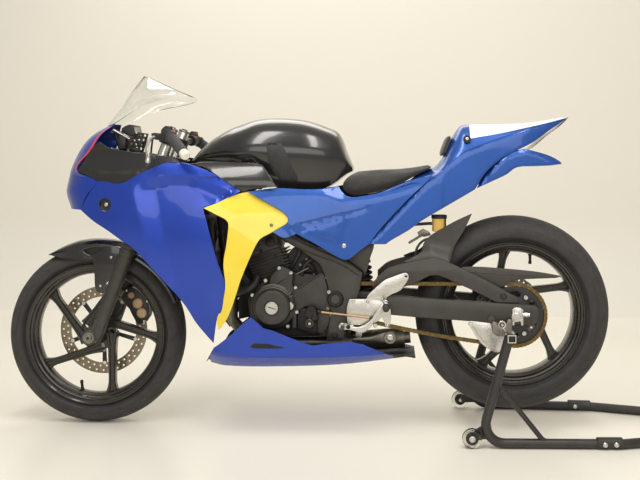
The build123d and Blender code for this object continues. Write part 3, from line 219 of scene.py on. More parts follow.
# ---------------------------------------------------------------- mesh builder
class Shape:
    """Gathers the faces of one piece. Each face keeps the material that was set when it was added."""

    def __init__(self):
        self.points = []
        self.faces = []
        self.slots = []
        self.materials = []
        self.now = 0

    def paint(self, material):
        """Sets the material of the faces that follow."""
        if material not in self.materials:
            self.materials.append(material)
        self.now = self.materials.index(material)
        return self

    def add(self, points, faces):
        """Adds points, and faces that count from the first of them."""
        base = len(self.points)
        self.points.extend(tuple(float(c) for c in p) for p in points)
        for face in faces:
            self.faces.append([base + i for i in face])
            self.slots.append(self.now)
        return self

    def rows(self, rows, around=True, along=False, ends=True):
        """A skin over rows of points. around closes each row, along joins the last row to the first."""
        count = len(rows[0])
        points = [p for row in rows for p in row]
        faces = []
        last_row = len(rows) if along else len(rows) - 1
        last_point = count if around else count - 1
        for r in range(last_row):
            a, b = r * count, (r + 1) % len(rows) * count
            for i in range(last_point):
                j = (i + 1) % count
                faces.append((a + i, a + j, b + j, b + i))
        if ends and around and not along:
            faces.append(tuple(range(count - 1, -1, -1)))
            faces.append(tuple((len(rows) - 1) * count + i for i in range(count)))
        return self.add(points, faces)

    def mirror(self):
        """Adds the same faces again on the other side of the bike."""
        base = len(self.points)
        self.points.extend((x, -y, z) for x, y, z in list(self.points))
        for face, slot in list(zip(self.faces, self.slots)):
            self.faces.append([base + i for i in reversed(face)])
            self.slots.append(slot)
        return self

    def take(self, other):
        """Adds the faces of another shape, with their materials."""
        base = len(self.points)
        self.points.extend(other.points)
        for face, slot in zip(other.faces, other.slots):
            self.paint(other.materials[slot])
            self.faces.append([base + i for i in face])
            self.slots.append(self.now)
        return self

    def make(self, name, slot=None, body="chassis", replaces=None, sharp=32):
        """The finished object, on its body. It replaces the solid of its own name, or those named."""
        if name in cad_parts:
            replaces = [name] if replaces is None else replaces
            name += "_detail"
        mesh = bpy.data.meshes.new(name)
        mesh.from_pydata([(x * MM, y * MM, z * MM) for x, y, z in self.points], [], self.faces)
        for material in self.materials:
            mesh.materials.append(material)
        mesh.polygons.foreach_set("material_index", self.slots)
        mesh.polygons.foreach_set("use_smooth", [True] * len(mesh.polygons))
        mesh.update()
        mesh.validate()
        work = bmesh.new()
        work.from_mesh(mesh)
        bmesh.ops.remove_doubles(work, verts=work.verts, dist=1e-6)
        bmesh.ops.recalc_face_normals(work, faces=work.faces)
        work.to_mesh(mesh)
        work.free()
        mesh.set_sharp_from_angle(angle=math.radians(sharp))
        piece = bpy.data.objects.new(name, mesh)
        bpy.context.scene.collection.objects.link(piece)
        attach(piece, body)
        if replaces:
            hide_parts(*replaces)
        return piece


def clamped(value):
    """The value held between 0 and 1."""
    return min(max(value, 0), 1)


def border(rows):
    """The points round the edge of a grid, beginning along its first column."""
    first, last = [row[0] for row in rows], [row[-1] for row in rows]
    return first + rows[-1][1:] + last[-2::-1] + rows[0][-2:0:-1]


def distinct(outline):
    """The outline without points that fall on the point before."""
    return [p for i, p in enumerate(outline) if (Vector(p) - Vector(outline[i - 1])).length > 0.5]


def basis(axis):
    """Two unit vectors square to the axis and to each other, so that the three turn right-handed."""
    axis = Vector(axis).normalized()
    first = Vector((0, 0, 1)) if abs(axis.z) < 0.9 else Vector((1, 0, 0))
    across = first.cross(axis).normalized()
    return axis, across, axis.cross(across)


def ring(centre, axis, radius, sides):
    """Points of a circle square to the axis."""
    _, u, v = basis(axis)
    centre = Vector(centre)
    angles = (math.tau * i / sides for i in range(sides))
    return [centre + u * (radius * math.cos(a)) + v * (radius * math.sin(a)) for a in angles]


def turned(shape, start, axis, profile, sides=40, ends=True):
    """A turned solid. The profile gives (distance along the axis, radius)."""
    axis = Vector(axis).normalized()
    start = Vector(start)
    shape.rows([ring(start + axis * along, axis, radius, sides) for along, radius in profile], ends=ends)


def knob(shape, at, y, profile, metal=None, sides=32):
    """A round piece across the bike. The profile gives (distance out from y, radius)."""
    if metal:
        shape.paint(metal)
    turned(shape, (at[0], y, at[1]), ACROSS, profile, sides)


def domed(radius, height, edge=1.5):
    """The profile of a low cap with a rounded edge."""
    return [
        (-2, radius), (height - edge, radius), (height - edge * 0.3, radius - edge * 0.3),
        (height, radius - edge),
    ]


def bar(shape, start, end, radius, sides=20, edge=0.8):
    """A round bar with small rounded ends."""
    start, end = Vector(start), Vector(end)
    length = (end - start).length
    profile = [(0, radius - edge), (edge, radius), (length - edge, radius), (length, radius - edge)]
    turned(shape, start, end - start, profile, sides)


def smooth_path(points, steps=8):
    """A smooth curve through the points."""
    points = [Vector(p) for p in points]
    padded = [2 * points[0] - points[1], *points, 2 * points[-1] - points[-2]]
    line = []
    for a, b, c, d in zip(padded, padded[1:], padded[2:], padded[3:]):
        for i in range(steps):
            t = i / steps
            line.append(
                0.5 * (
                    2 * b + (c - a) * t + (
                        2 * a - 5 * b + 4 * c - d
                    ) * t**2 + (3 * b - a - 3 * c + d) * t**3
                )
            )
    return line + [points[-1]]


def bent_path(points, bend, steps=8):
    """Straight runs joined by round bends of one radius."""
    points = [Vector(p) for p in points]
    line = [points[0]]
    for a, b, c in zip(points, points[1:], points[2:]):
        back, ahead = (a - b).normalized(), (c - b).normalized()
        half = back.angle(ahead) / 2
        cut = min(bend / math.tan(half), (a - b).length * 0.49, (c - b).length * 0.49)
        radius = cut * math.tan(half)
        middle = b + (back + ahead).normalized() * (radius / math.sin(half))
        first, last = b + back * cut, b + ahead * cut
        for i in range(steps + 1):
            t = i / steps
            spoke = (first - middle).slerp(last - middle, t)
            line.append(middle + spoke * radius)
    return line + [points[-1]]


def pipe(shape, line, radius, sides=18, squash=1.0):
    """A tube along a line of points. The radius may be one number or one for each point."""
    line = [Vector(p) for p in line]
    radii = radius if isinstance(radius, (list, tuple)) else [radius] * len(line)
    tangent = (line[1] - line[0]).normalized()
    _, u, v = basis(tangent)
    rows = []
    for i, point in enumerate(line):
        ahead = (line[min(i + 1, len(line) - 1)] - line[max(i - 1, 0)]).normalized()
        turn = tangent.rotation_difference(ahead)
        u, v, tangent = turn @ u, turn @ v, ahead
        rows.append(
            [
                point + u * (radii[i] * math.cos(a)) + v * (radii[i] * squash * math.sin(a))
                for a in (math.tau * k / sides for k in range(sides))
            ]
        )
    shape.rows(rows)


def hose(shape, points, radius, sides, steps=8):
    """A round hose that curves through the points."""
    pipe(shape, smooth_path(points, steps), radius, sides)


def inset(outline, distance):
    """The outline moved inwards by a distance. The outline runs anticlockwise."""
    moved = []
    count = len(outline)
    for i, point in enumerate(outline):
        before, after = Vector(outline[i - 1]), Vector(outline[(i + 1) % count])
        here = Vector(point)
        a, b = (here - before).normalized(), (after - here).normalized()
        normal = Vector((-(a.y + b.y), a.x + b.x))
        if normal.length < 1e-6:
            normal = Vector((-a.y, a.x))
        normal.normalize()
        lean = max(normal.dot(Vector((-a.y, a.x))), 0.45)
        moved.append(tuple(here + normal * (distance / lean)))
    return moved


def anticlockwise(outline):
    """The outline in anticlockwise order."""
    area = sum(a[0] * b[1] - b[0] * a[1] for a, b in zip(outline, outline[1:] + outline[:1]))
    return list(outline) if area > 0 else list(reversed(outline))


def inside(point, outline):
    """True if the point lies inside the outline."""
    x, z = point
    hit = False
    for (x0, z0), (x1, z1) in zip(outline, outline[1:] + outline[:1]):
        if (z0 > z) != (z1 > z) and x < x0 + (z - z0) / (z1 - z0) * (x1 - x0):
            hit = not hit
    return hit


def fill(outline, holes=(), cell=None, creases=()):
    """Triangles over an outline with holes. A cell size adds points on a grid and along the creases."""
    points, edges = [], []
    for line in (outline, *holes):
        base = len(points)
        points.extend(Vector(p) for p in line)
        edges.extend((base + i, base + (i + 1) % len(line)) for i in range(len(line)))
    if cell:
        margin = inset(outline, cell * 0.5)
        rims = [inset(h, cell * 0.5) for h in holes]

        def clear_of(point):
            """True where a point keeps its distance from every edge."""
            return inside(point, margin) and not any(inside(point, r) for r in rims)

        on_crease = []
        for line in creases:
            kept = [p for p in along_line(line, cell * 0.6) if clear_of(p)]
            edges.extend((len(points) + i, len(points) + i + 1) for i in range(len(kept) - 1))
            points.extend(Vector(p) for p in kept)
            on_crease.extend(kept)
        flat = np.array(outline)
        low, high = flat.min(0), flat.max(0)
        taken = np.array(on_crease) if on_crease else np.array([(1e9, 1e9)])
        for row, z in enumerate(np.arange(low[1] + cell / 2, high[1], cell * 0.866)):
            for x in np.arange(low[0] + cell * (0.5 if row % 2 else 1.0), high[0], cell):
                if clear_of((x, z)) and np.hypot(*(taken - (x, z)).T).min() > cell * 0.45:
                    points.append(Vector((x, z)))
    found, _, triangles, *_ = delaunay_2d_cdt(points, edges, [], 0, 1e-5)
    kept = []
    for triangle in triangles:
        middle = sum((found[i] for i in triangle), Vector((0, 0))) / 3
        if inside(middle, outline) and not any(inside(middle, h) for h in holes):
            kept.append(tuple(triangle))
    return [tuple(p) for p in found], kept


def along_line(line, step):
    """Points every step along a line."""
    line = [Vector(p) for p in line]
    points = [tuple(line[0])]
    for a, b in zip(line, line[1:]):
        count = max(int((b - a).length / step), 1)
        points.extend(tuple(a.lerp(b, (i + 1) / count)) for i in range(count))
    return points


def plate(shape, outline, first_y, second_y, edge=0.8, holes=()):
    """A flat plate with a side-view outline and rounded edges."""
    low, high = sorted((first_y, second_y))
    outline = anticlockwise(outline)
    holes = [list(reversed(anticlockwise(h))) for h in holes]

    def level(line, y):
        """The side-view line as points at one distance across."""
        return [(x, y, z) for x, z in line]

    for line in (outline, *holes):
        near, turning = inset(line, edge), inset(line, edge * 0.3)
        rows = [level(near, high), level(turning, high - edge * 0.3), level(line, high - edge)]
        rows += [level(line, low + edge), level(turning, low + edge * 0.3), level(near, low)]
        shape.rows(rows, ends=False)
    face_outline = inset(outline, edge)
    if holes:
        found, triangles = fill(face_outline, [inset(h, edge) for h in holes])
    else:
        found, triangles = face_outline, [tuple(range(len(face_outline)))]
    shape.add(level(found, low), triangles)
    shape.add(level(found, high), [tuple(reversed(t)) for t in triangles])


def polar(centre, radius, angle):
    """A side-view point at a distance and an angle from a centre."""
    return centre[0] + radius * math.cos(angle), centre[1] + radius * math.sin(angle)


def circle(centre, radius, sides=24):
    """A circle in the side view, as a list of points."""
    return [polar(centre, radius, math.tau * i / sides) for i in range(sides)]


def loop(*runs, step=9.0):
    """A closed outline. Each run curves smoothly through its points to the first point of the next."""
    line = []
    for run, following in zip(runs, runs[1:] + runs[:1]):
        points = [Vector((x, z, 0)) for x, z in (*run, following[0])]
        path = smooth_path(points, 10) if len(points) > 2 else points
        lengths = np.cumsum([0] + [(b - a).length for a, b in zip(path, path[1:])])
        count = max(int(lengths[-1] / step), 1)
        for along in np.linspace(0, lengths[-1], count, endpoint=False):
            xs = np.interp(along, lengths, [p.x for p in path])
            zs = np.interp(along, lengths, [p.y for p in path])
            line.append((float(xs), float(zs)))
    return line


def screw(shape, point, axis, radius=5.0, proud=3.0, metal=None):
    """A button-head screw: a domed head with a hexagon socket."""
    shape.paint(metal or STEEL)
    profile = [(-2.0, radius), (proud * 0.45, radius), (proud * 0.85, radius * 0.8), (proud, radius * 0.5)]
    profile.append((proud - 1.2, radius * 0.42))
    turned(shape, point, axis, profile, 18)


def hex_bolt(shape, point, axis, radius=7.0, height=6.0, metal=None):
    """A hexagon head on its washer."""
    shape.paint(metal or STEEL)
    turned(shape, point, axis, [(-1, radius * 1.35), (1, radius * 1.35), (1.4, radius * 1.25)], 24)
    start = Vector(point)
    unit = Vector(axis).normalized()
    rows = [
        ring(start + unit * a, unit, r, 6)
        for a, r in ((1.2, radius), (height - 0.8, radius), (height, radius * 0.9))
    ]
    shape.rows(rows)


# ---------------------------------------------------------------- wheels
def wheel_point(centre, radius, angle, y):
    """A point at a distance and an angle from a wheel's axle."""
    x, z = polar(centre, radius, angle)
    return x, y, z


TYRE_STEPS = 560
SIPE = (3.0, 1.6, 2.6)  # half-width, width of its slope, depth


def tyre(name, centre, size, rim_width, body, sipes):
    """A road tyre: beads, ringed side walls and a crown cut by curved sipes."""
    radius, width = size
    half = width / 2
    bead = rim_width / 2 - 6.3
    shoulder = radius - width * 0.4
    middle = (RIM_LIP + 2 + shoulder) / 2
    wall = smooth_path(
        [(bead, RIM_SEAT + 0.4, 0), (bead, RIM_LIP + 2, 0), (half - 3, middle, 0), (half, shoulder, 0)], 6
    )
    crown = [
        (half * math.cos(a), shoulder + (radius - shoulder) * math.sin(a), 0)
        for a in np.linspace(0, math.pi, 44)[1:-1]
    ]
    line = [tuple(p)[:2] for p in wall] + [p[:2] for p in crown] + [(-p[0], p[1]) for p in reversed(wall)]
    profile = np.array(line)
    steps = np.hypot(*np.diff(profile, axis=0).T)
    along = np.concatenate([[0], np.cumsum(steps)])
    across = along - along[-1] / 2
    theta = np.linspace(0, math.tau, TYRE_STEPS, endpoint=False)
    edge = radius * 0.19 + half * 0.28
    pitch = math.tau / sipes
    angle = theta[:, None] - 0.0052 * np.abs(across)[None, :] - np.where(across > 0, pitch / 2, 0)[None, :]
    off = np.abs((angle + pitch / 2) % pitch - pitch / 2) * radius
    groove = np.clip((SIPE[0] - off) / SIPE[1], 0, 1) * (np.abs(across) > 7) * (np.abs(across) < edge)
    rings = 0.7 * np.clip(1.6 - np.abs(profile[:, 1] - (RIM_LIP + 14)), 0, 1)
    rings += 0.6 * np.clip(
        1.4 - np.abs(profile[:, 1] - (shoulder - 4)), 0, 1,
    ) * (np.abs(profile[:, 0]) > half * 0.9)
    normal = np.gradient(profile, axis=0)
    normal = np.stack([normal[:, 1], -normal[:, 0]], 1)
    normal /= np.linalg.norm(normal, axis=1)[:, None]
    outward = np.sign((profile - (0, middle)) * normal).sum(1)
    normal *= np.where(outward >= 0, 1, -1)[:, None]
    lift = rings[None, :] - SIPE[2] * groove
    y = profile[None, :, 0] + normal[None, :, 0] * lift
    r = profile[None, :, 1] + normal[None, :, 1] * lift
    r = np.minimum(r, radius)
    x = centre[0] + r * np.cos(theta)[:, None]
    z = centre[1] + r * np.sin(theta)[:, None]
    count = len(line)
    shape = Shape().paint(TYRE)
    tread_from = len(wall) - 2
    points = np.stack([x, y, z], 2).reshape(-1, 3)
    side_faces, tread_faces = [], []
    for i in range(TYRE_STEPS):
        a, b = i * count, (i + 1) % TYRE_STEPS * count
        for k in range(count - 1):
            face = (a + k, a + k + 1, b + k + 1, b + k)
            (tread_faces if tread_from + 4 < k < count - tread_from - 6 else side_faces).append(face)
    shape.add(points, side_faces)
    shape.paint(TREAD)
    shape.faces.extend(tread_faces)  # on the points that are there already
    shape.slots.extend([shape.now] * len(tread_faces))
    inner = [[(x[i, -1], y[i, -1], z[i, -1]), (x[i, 0], y[i, 0], z[i, 0])] for i in range(TYRE_STEPS)]
    shape.paint(TYRE)
    shape.rows(inner, around=False, along=True)
    shape.make(name, "tyre_rubber", body, sharp=50)


def rounded_section(centre, tangent, width, depth, groove):
    """One section of a spoke, across the wheel, with a shallow channel down its outer face."""
    side_way = Vector((-tangent[1], 0, tangent[0]))
    w, d = width / 2, depth / 2
    outline = [
        (-w, -d + 3), (-w, d - 4), (-w + 3, d), (-w * 0.45, d), (-w * 0.30, d - groove),
        (w * 0.30, d - groove), (w * 0.45, d), (w - 3, d), (w, d - 4), (w, -d + 3), (w - 3, -d),
        (-w + 3, -d),
    ]
    return [Vector(centre) + side_way * a + Vector((0, b, 0)) for a, b in outline]


def spoke(shape, centre, angle, miss, tip, widths, depths):
    """A swept spoke whose line passes the axle at a distance. angle is at the rim."""
    turn = math.radians(angle) + math.asin(miss / tip)
    way = Vector((math.cos(turn), math.sin(turn)))
    start = Vector((way.y, -way.x)) * miss
    reach = math.sqrt(tip**2 - miss**2)
    rows = []
    for t in (0, 0.12, 0.2, 0.3, 0.45, 0.6, 0.75, 0.83, 0.89, 0.94, 0.975, 1.0):
        point = start + way * (reach * t)
        flare = 1 + 0.95 * max(0, (t - 0.79) / 0.21) ** 2 + 0.5 * max(0, (0.3 - t) / 0.3) ** 2
        width = (widths[0] + (widths[1] - widths[0]) * t) * flare
        depth = depths[0] + (depths[1] - depths[0]) * t
        at = (centre[0] + point.x, 0, centre[1] + point.y)
        rows.append(rounded_section(at, (way.x, way.y), width, depth, 3.5))
    shape.rows(rows)


SPOKES = 5


def rim(name, centre, rim_width, hub, body, first, miss, valve_angle, weight_angle):
    """A cast wheel. hub gives hub radius, hub half-length and axle radius."""
    hub_radius, hub_half, axle_radius = hub
    lip = rim_width / 2
    shape = Shape().paint(WHEEL)
    barrel = [
        (-lip, RIM_LIP - 2), (-lip + 2, RIM_LIP), (-lip + 5, RIM_LIP - 1), (-lip + 6, RIM_SEAT + 2),
        (-lip + 8, RIM_SEAT), (-lip + 20, RIM_SEAT - 1), (-lip + 27, RIM_SEAT - 15),
        (lip - 27, RIM_SEAT - 15), (lip - 20, RIM_SEAT - 1), (lip - 8, RIM_SEAT), (lip - 6, RIM_SEAT + 2),
        (lip - 5, RIM_LIP - 1), (lip - 2, RIM_LIP), (lip, RIM_LIP - 2), (lip, RIM_SEAT + 4),
        (lip - 3, RIM_SEAT + 1), (lip - 4, RIM_SEAT - 4), (lip - 10, RIM_SEAT - 7),
        (lip - 12, RIM_SEAT - 12), (lip - 22, RIM_INNER + 7), (lip - 25, RIM_INNER + 1),
        (lip - 34, RIM_INNER - 2), (34 - lip, RIM_INNER - 2), (25 - lip, RIM_INNER + 1),
        (22 - lip, RIM_INNER + 7), (12 - lip, RIM_SEAT - 12), (10 - lip, RIM_SEAT - 7),
        (4 - lip, RIM_SEAT - 4), (3 - lip, RIM_SEAT + 1), (-lip, RIM_SEAT + 4),
    ]
    axle_line = Vector((centre[0], 0, centre[1]))

    def wheel_ring(y, radius, sides):
        """A ring round the axle."""
        return ring(axle_line + Vector((0, y, 0)), ACROSS, radius, sides)

    shape.rows([wheel_ring(y, r, 144) for y, r in reversed(barrel)], along=True)
    angles = [first + 360 / SPOKES * k for k in range(SPOKES)]
    for angle in angles:
        spoke(shape, centre, angle, miss, RIM_INNER + 3, (27, 22), (34, 27))
    flange = miss + 13
    eye = (flange + hub_radius) / 2
    eyes = []
    for angle in angles:
        at = polar(centre, eye, math.radians(angle - 8))
        eyes.append(
            [(at[0] + u, at[1] + v) for u, v in circle((0, 0), min(8, (flange - hub_radius) / 2 - 4), 14)]
        )
    plate(shape, circle(centre, flange, 72), -9, 9, 3, eyes if hub_radius < 40 else ())
    bore = axle_radius + 0.05
    hub_profile = [
        (-hub_half, bore), (-hub_half, hub_radius - 2), (-hub_half + 2, hub_radius), (-18, hub_radius),
        (-9, hub_radius + 6), (9, hub_radius + 6), (18, hub_radius), (hub_half - 2, hub_radius),
        (hub_half, hub_radius - 2), (hub_half, bore),
    ]
    shape.rows([wheel_ring(y, r, 60) for y, r in reversed(hub_profile)], along=True)
    shape.paint(DARK)
    valve = math.radians(valve_angle)
    stem = [
        wheel_point(centre, RIM_INNER + 2 - 34 * t, valve + 0.06 * t, 10 * t) for t in np.linspace(0, 1, 7)
    ]
    pipe(shape, stem, [8, 6, 5, 4.6, 4.6, 5.6, 5.4], 12)
    if weight_angle:
        shape.paint(SILVER)
        for side in (-1, 1):
            inner, outer = RIM_INNER + 8, RIM_SEAT - 12
            rows = []
            for t in np.linspace(-4.5, 4.5, 8):
                turn = math.radians(weight_angle + t)
                low = wheel_point(centre, inner + 1, turn, side * (lip - 22))
                high = wheel_point(centre, outer - 1, turn, side * (lip - 13))
                back = Vector((-2 * math.cos(turn), side * 2, -2 * math.sin(turn)))
                rows.append([Vector(low), Vector(high), Vector(high) + back, Vector(low) + back][::side])
            shape.rows(rows)
    shape.make(name, "wheel_dark", body)


DISC_ARMS = 5


def brake_disc(name, centre, outer, inner, y, thickness, body, ring_material, arm_angle):
    """A drilled floating disc on a dark spider, with a button at each arm."""
    shape = Shape().paint(ring_material)
    holes = []
    for row, (radius, count) in enumerate(((outer - 10, 36), (outer - 25, 36))):
        if inner + 8 < radius:
            places = (math.tau * (k + row * 0.5) / count for k in range(count))
            holes += [circle(polar(centre, radius, at), 3.4, 10) for at in places]
    edge_line = circle(centre, outer, 120)
    plate(shape, edge_line, y, y + thickness, 0.5, [circle(centre, inner, 100), *holes])
    shape.paint(SATIN_BLACK)
    spider = []
    turns = [math.radians(arm_angle) + math.tau * k / DISC_ARMS for k in range(DISC_ARMS)]
    for at in turns:
        spider += [(inner * 0.34, at - 0.52), (inner * 0.5, at - 0.11), (inner + 1, at - 0.065)]
        spider += [(inner + 5, at), (inner + 1, at + 0.065), (inner * 0.5, at + 0.11)]
    outline = [polar(centre, r, a) for r, a in spider]
    plate(shape, outline, y - 0.4, y + thickness + 0.4, 0.6, [circle(centre, 22.5, 40)])
    for at in turns:
        button = [(0, 6), (0.6, 6.6), (thickness + 1.8, 6.6), (thickness + 2.4, 6)]
        knob(shape, polar(centre, inner + 0.5, at), y - 1.2, button, STEEL, 20)
        knob(shape, polar(centre, inner * 0.36, at + 0.25), y - 3, [(0, 5), (3, 5.5), (4, 5.5)], DARK, 16)
    shape.make(name, "chain_gold" if name == "front_disc" else "steel", body)


tyre("front_tyre", FRONT, FRONT_TYRE, FRONT_RIM_WIDTH, "front_wheel", 22)
tyre("rear_tyre", REAR, REAR_TYRE, REAR_RIM_WIDTH, "rear_wheel", 20)
rim("front_rim", FRONT, FRONT_RIM_WIDTH, (30, 58, 8), "front_wheel", 40, 47, 285, 274)
rim("rear_rim", REAR, REAR_RIM_WIDTH, (52, 72, 9), "rear_wheel", 11, 62, 107, None)
brake_disc("front_disc", FRONT, 148, 112, -63.3, 5, "front_wheel", DISC, 52)
brake_disc("rear_disc", REAR, 110, 82, -77.3, 5, "rear_wheel", DULL_STEEL, 20)


# ---------------------------------------------------------------- fairing skins
SKIN_LEVELS = (190, 260, 400, 560, 700, 820, 900, 1000)
SKIN_STATIONS = [  # x, then the half-width at each level
    (-260, (90, 110, 118, 120, 120, 118, 112, 100)),
    (-60, (120, 138, 146, 146, 142, 136, 125, 110)),
    (100, (138, 160, 172, 170, 162, 150, 140, 120)),
    (300, (140, 172, 206, 212, 198, 176, 155, 130)),
    (460, (140, 168, 206, 223, 222, 198, 168, 140)),
    (600, (140, 160, 192, 214, 218, 203, 176, 140)),
    (740, (130, 145, 172, 195, 205, 193, 166, 130)),
    (840, (118, 131, 150, 166, 178, 170, 146, 118)),
    (920, (98, 106, 115, 126, 142, 138, 118, 92)),
    (1000, (54, 58, 61, 63, 70, 68, 61, 50)),
]


def curve(xs, ys, x):
    """A smooth curve through (xs, ys), read at x."""
    last = len(xs) - 1
    x = min(max(x, xs[0]), xs[last])
    i = 0
    while i < last - 1 and x > xs[i + 1]:
        i += 1

    def slope(k):
        """The curve's slope at its point k."""
        if k == 0:
            return (ys[1] - ys[0]) / (xs[1] - xs[0])
        if k == last:
            return (ys[last] - ys[last - 1]) / (xs[last] - xs[last - 1])
        return (ys[k + 1] - ys[k - 1]) / (xs[k + 1] - xs[k - 1])

    step = xs[i + 1] - xs[i]
    t = (x - xs[i]) / step
    a, b = slope(i) * step, slope(i + 1) * step
    rise = ys[i + 1] - ys[i]
    return ys[i] + a * t + (3 * rise - 2 * a - b) * t**2 + (a + b - 2 * rise) * t**3


def skin(x, z):
    """Half-width of the fairing at a side-view point."""
    halves = [curve(SKIN_LEVELS, halves, z) for _, halves in SKIN_STATIONS]
    return curve([station for station, _ in SKIN_STATIONS], halves, x)


def beside(line, x, z):
    """Distance to the left of a line, the way along it at the nearest point, and the line's length."""
    best = (1e9, 0.0, 0.0)
    run = 0.0
    here = Vector((x, z))
    for a, b in zip(line, line[1:]):
        a, b = Vector(a), Vector(b)
        way = b - a
        t = clamped((here - a).dot(way) / way.length_squared)
        gap = here - (a + way * t)
        if gap.length < best[0]:
            left = way.x * gap.y - way.y * gap.x
            best = (gap.length, math.copysign(gap.length, left), run + t * way.length)
        run += way.length
    return best[1], best[2], run


def fold(line, drop, reach, fade=(0, 0)):
    """An offset that turns a skin in to the left of a line: drop at reach from it, faded at the ends."""

    def offset(x, z):
        """How far the skin moves out at a point."""
        left, along, length = beside(line, x, z)
        weight = min(1, along / fade[0] if fade[0] else 1, (length - along) / fade[1] if fade[1] else 1)
        return -drop * clamped(left / reach) * max(weight, 0)

    return offset


def skin_panel(
    shape, outline, offset=None, holes=(), creases=(), cell=9, thick=3.6, edge=1.2, base=skin, lining=None,
):
    """A panel of the left skin with rounded edges. lining is the material of its inner face."""
    outline = anticlockwise(outline)
    holes = [list(reversed(anticlockwise(h))) for h in holes]

    def lift(points, drop):
        """Side-view points on the skin, at a depth below its outer face."""
        return [(x, base(x, z) + (offset(x, z) if offset else 0) - drop, z) for x, z in points]

    start = shape.materials[shape.now]
    for line in (outline, *holes):
        near = inset(line, edge)
        rows = [
            lift(near, 0), lift(inset(line, 0.35), 0.35), lift(line, 1.2), lift(line, thick - 0.6),
            lift(near, thick),
        ]
        shape.rows(rows, ends=False)
    found, triangles = fill(inset(outline, edge), [inset(h, edge) for h in holes], cell, creases)
    shape.paint(lining or start)
    shape.add(lift(found, thick), [tuple(reversed(t)) for t in triangles])
    shape.paint(start)
    shape.add(lift(found, 0), triangles)


def other_side(shape):
    """The same shape on the right of the bike."""
    flipped = Shape()
    flipped.points = [(x, -y, z) for x, y, z in shape.points]
    flipped.faces = [list(reversed(f)) for f in shape.faces]
    flipped.slots = list(shape.slots)
    flipped.materials = list(shape.materials)
    return flipped


LIP = [(720, 795), (656, 811), (601, 823), (537, 821), (497, 808), (448, 788), (397, 766), (372, 755)]
VENT_FOLD = [(560, 830), (537, 802), (511, 769), (481, 727), (474, 716)]
COWL_TOP = [
    (842, 800), (803, 798), (772, 792), (738, 801), (703, 822), (654, 844), (625, 858), (596, 860),
    (557, 859), (519, 848), (460, 824),
]
COWL_HOLE = circle((809, 726), 21, 32)
cowl_outline = loop(
    COWL_TOP,
    [(378, 772), (398, 761), (451, 736)],
    [(494, 720), (470, 631), (446, 548), (422, 481)],
    [(428, 437), (435, 398), (450, 376)],
    [(466, 290), (518, 355), (567, 430), (703, 579), (752, 613), (801, 645), (850, 673)],
    [(897, 708)],
)
lip_drop = fold(LIP, 13, 34, (60, 0))
vent_drop = fold(list(reversed(VENT_FOLD)), 9, 60, (12, 30))


def cowl_offset(x, z):
    """The lip turns in above its crease, and the skin behind the fold sinks towards the vent."""
    behind = vent_drop(x, z) if z < 812 else 0
    return lip_drop(x, z) + behind


side = Shape().paint(BLUE)
skin_panel(side, cowl_outline, cowl_offset, [COWL_HOLE], [LIP, VENT_FOLD], lining=PLASTIC)
side.paint(GLOSS_BLACK)
recess = Vector((809, skin(809, 726) - 3, 726))
turned(
    side, recess + Vector((0, -16, 0)), ACROSS,
    [(0, 10), (1, 20.4), (14, 20.6), (15.5, 20.2), (15.5, 19), (2, 18.5), (1.6, 6)], 36, ends=False,
)
screw(side, recess + Vector((0, -14, 0)), ACROSS, 7.5, 6)
other = other_side(side)
side.make("side_cowl_left", "cowl_blue", sharp=14)
other.make("side_cowl_right", "cowl_blue", sharp=14)

vent = Shape().paint(YELLOW)
vent_outline = loop(
    [(493, 719), (451, 735), (398, 760)],
    [
        (357, 771), (297, 737), (253, 712), (234, 695), (229, 684), (234, 672), (258, 657), (287, 640),
        (311, 627), (323, 612), (335, 588), (354, 544), (373, 496), (387, 452), (402, 407), (420, 368),
    ],
    [
        (446, 334), (449, 375.5), (434, 398), (427, 437), (421, 481), (427, 548), (418, 607), (413, 655),
        (414, 675), (426, 686), (455, 700),
    ],
)
VENT_RIDGE = [(405, 690), (350, 700), (290, 704), (236, 690)]
vent_top = fold(list(reversed(VENT_RIDGE)), 9, 60, (0, 0))


def vent_lift(x, z):
    """The panel lies a little inside the cowl, with a ridge along its upper part."""
    return vent_top(x, z) - 1.0 if z > 660 else -1.0


skin_panel(vent, vent_outline, vent_lift, [circle((281, 667), 3.2, 16)], [VENT_RIDGE], lining=PLASTIC)
screw(vent, (281, skin(281, 667) - 1.5, 667), ACROSS, 6, 2.5, DULL_STEEL)
vent.mirror().make("vent_panels", "vent_yellow", sharp=12)

BLADE_TOP = [(236, 653), (205, 674), (69, 707), (-38, 730)]
BLADE_LOW = [(196, 645), (50, 696), (15, 709), (-38, 730)]
SEAT_FOLD = [(15, 709), (31, 690), (50, 651), (62, 606)]
blade_over = fold(BLADE_LOW, -3.5, 5, (10, 90))
blade_back = fold(BLADE_TOP, 3.5, 5, (10, 90))
seat_fold = fold(SEAT_FOLD, -5, 26, (20, 20))
seat_outline = loop(
    [
        (356.6, 771.8), (296.6, 737.6), (252.5, 712.6), (233.5, 695.4), (228.4, 684), (233.4, 671.5),
        (257.6, 656.4),
    ],
    [(276, 645), (240, 627), (204, 640)],
    [(204, 640), (155, 614), (98, 580), (58, 559), (34, 563), (9, 584)],
    [(-22, 606), (-65, 663), (-143, 747), (-207, 807)],
    [(-222, 829), (-159, 811), (-101, 788), (-45, 767), (36, 755), (63, 773), (75, 790)],
    [(75, 790), (116, 782), (178, 779), (264, 782)],
)
seat_outline = distinct(seat_outline)


def seat_lift(x, z):
    """A raised blade, a fold below it, and a top edge that rolls in."""
    top = curve([-222, -100, 40, 120, 260, 360], [826, 784, 762, 780, 783, 774], x)
    roll = max(0, 1 - (top - z) / 30) ** 2
    return blade_over(x, z) * 0.5 + blade_back(x, z) + seat_fold(x, z) * 0.5 - 7 * roll + 1.75


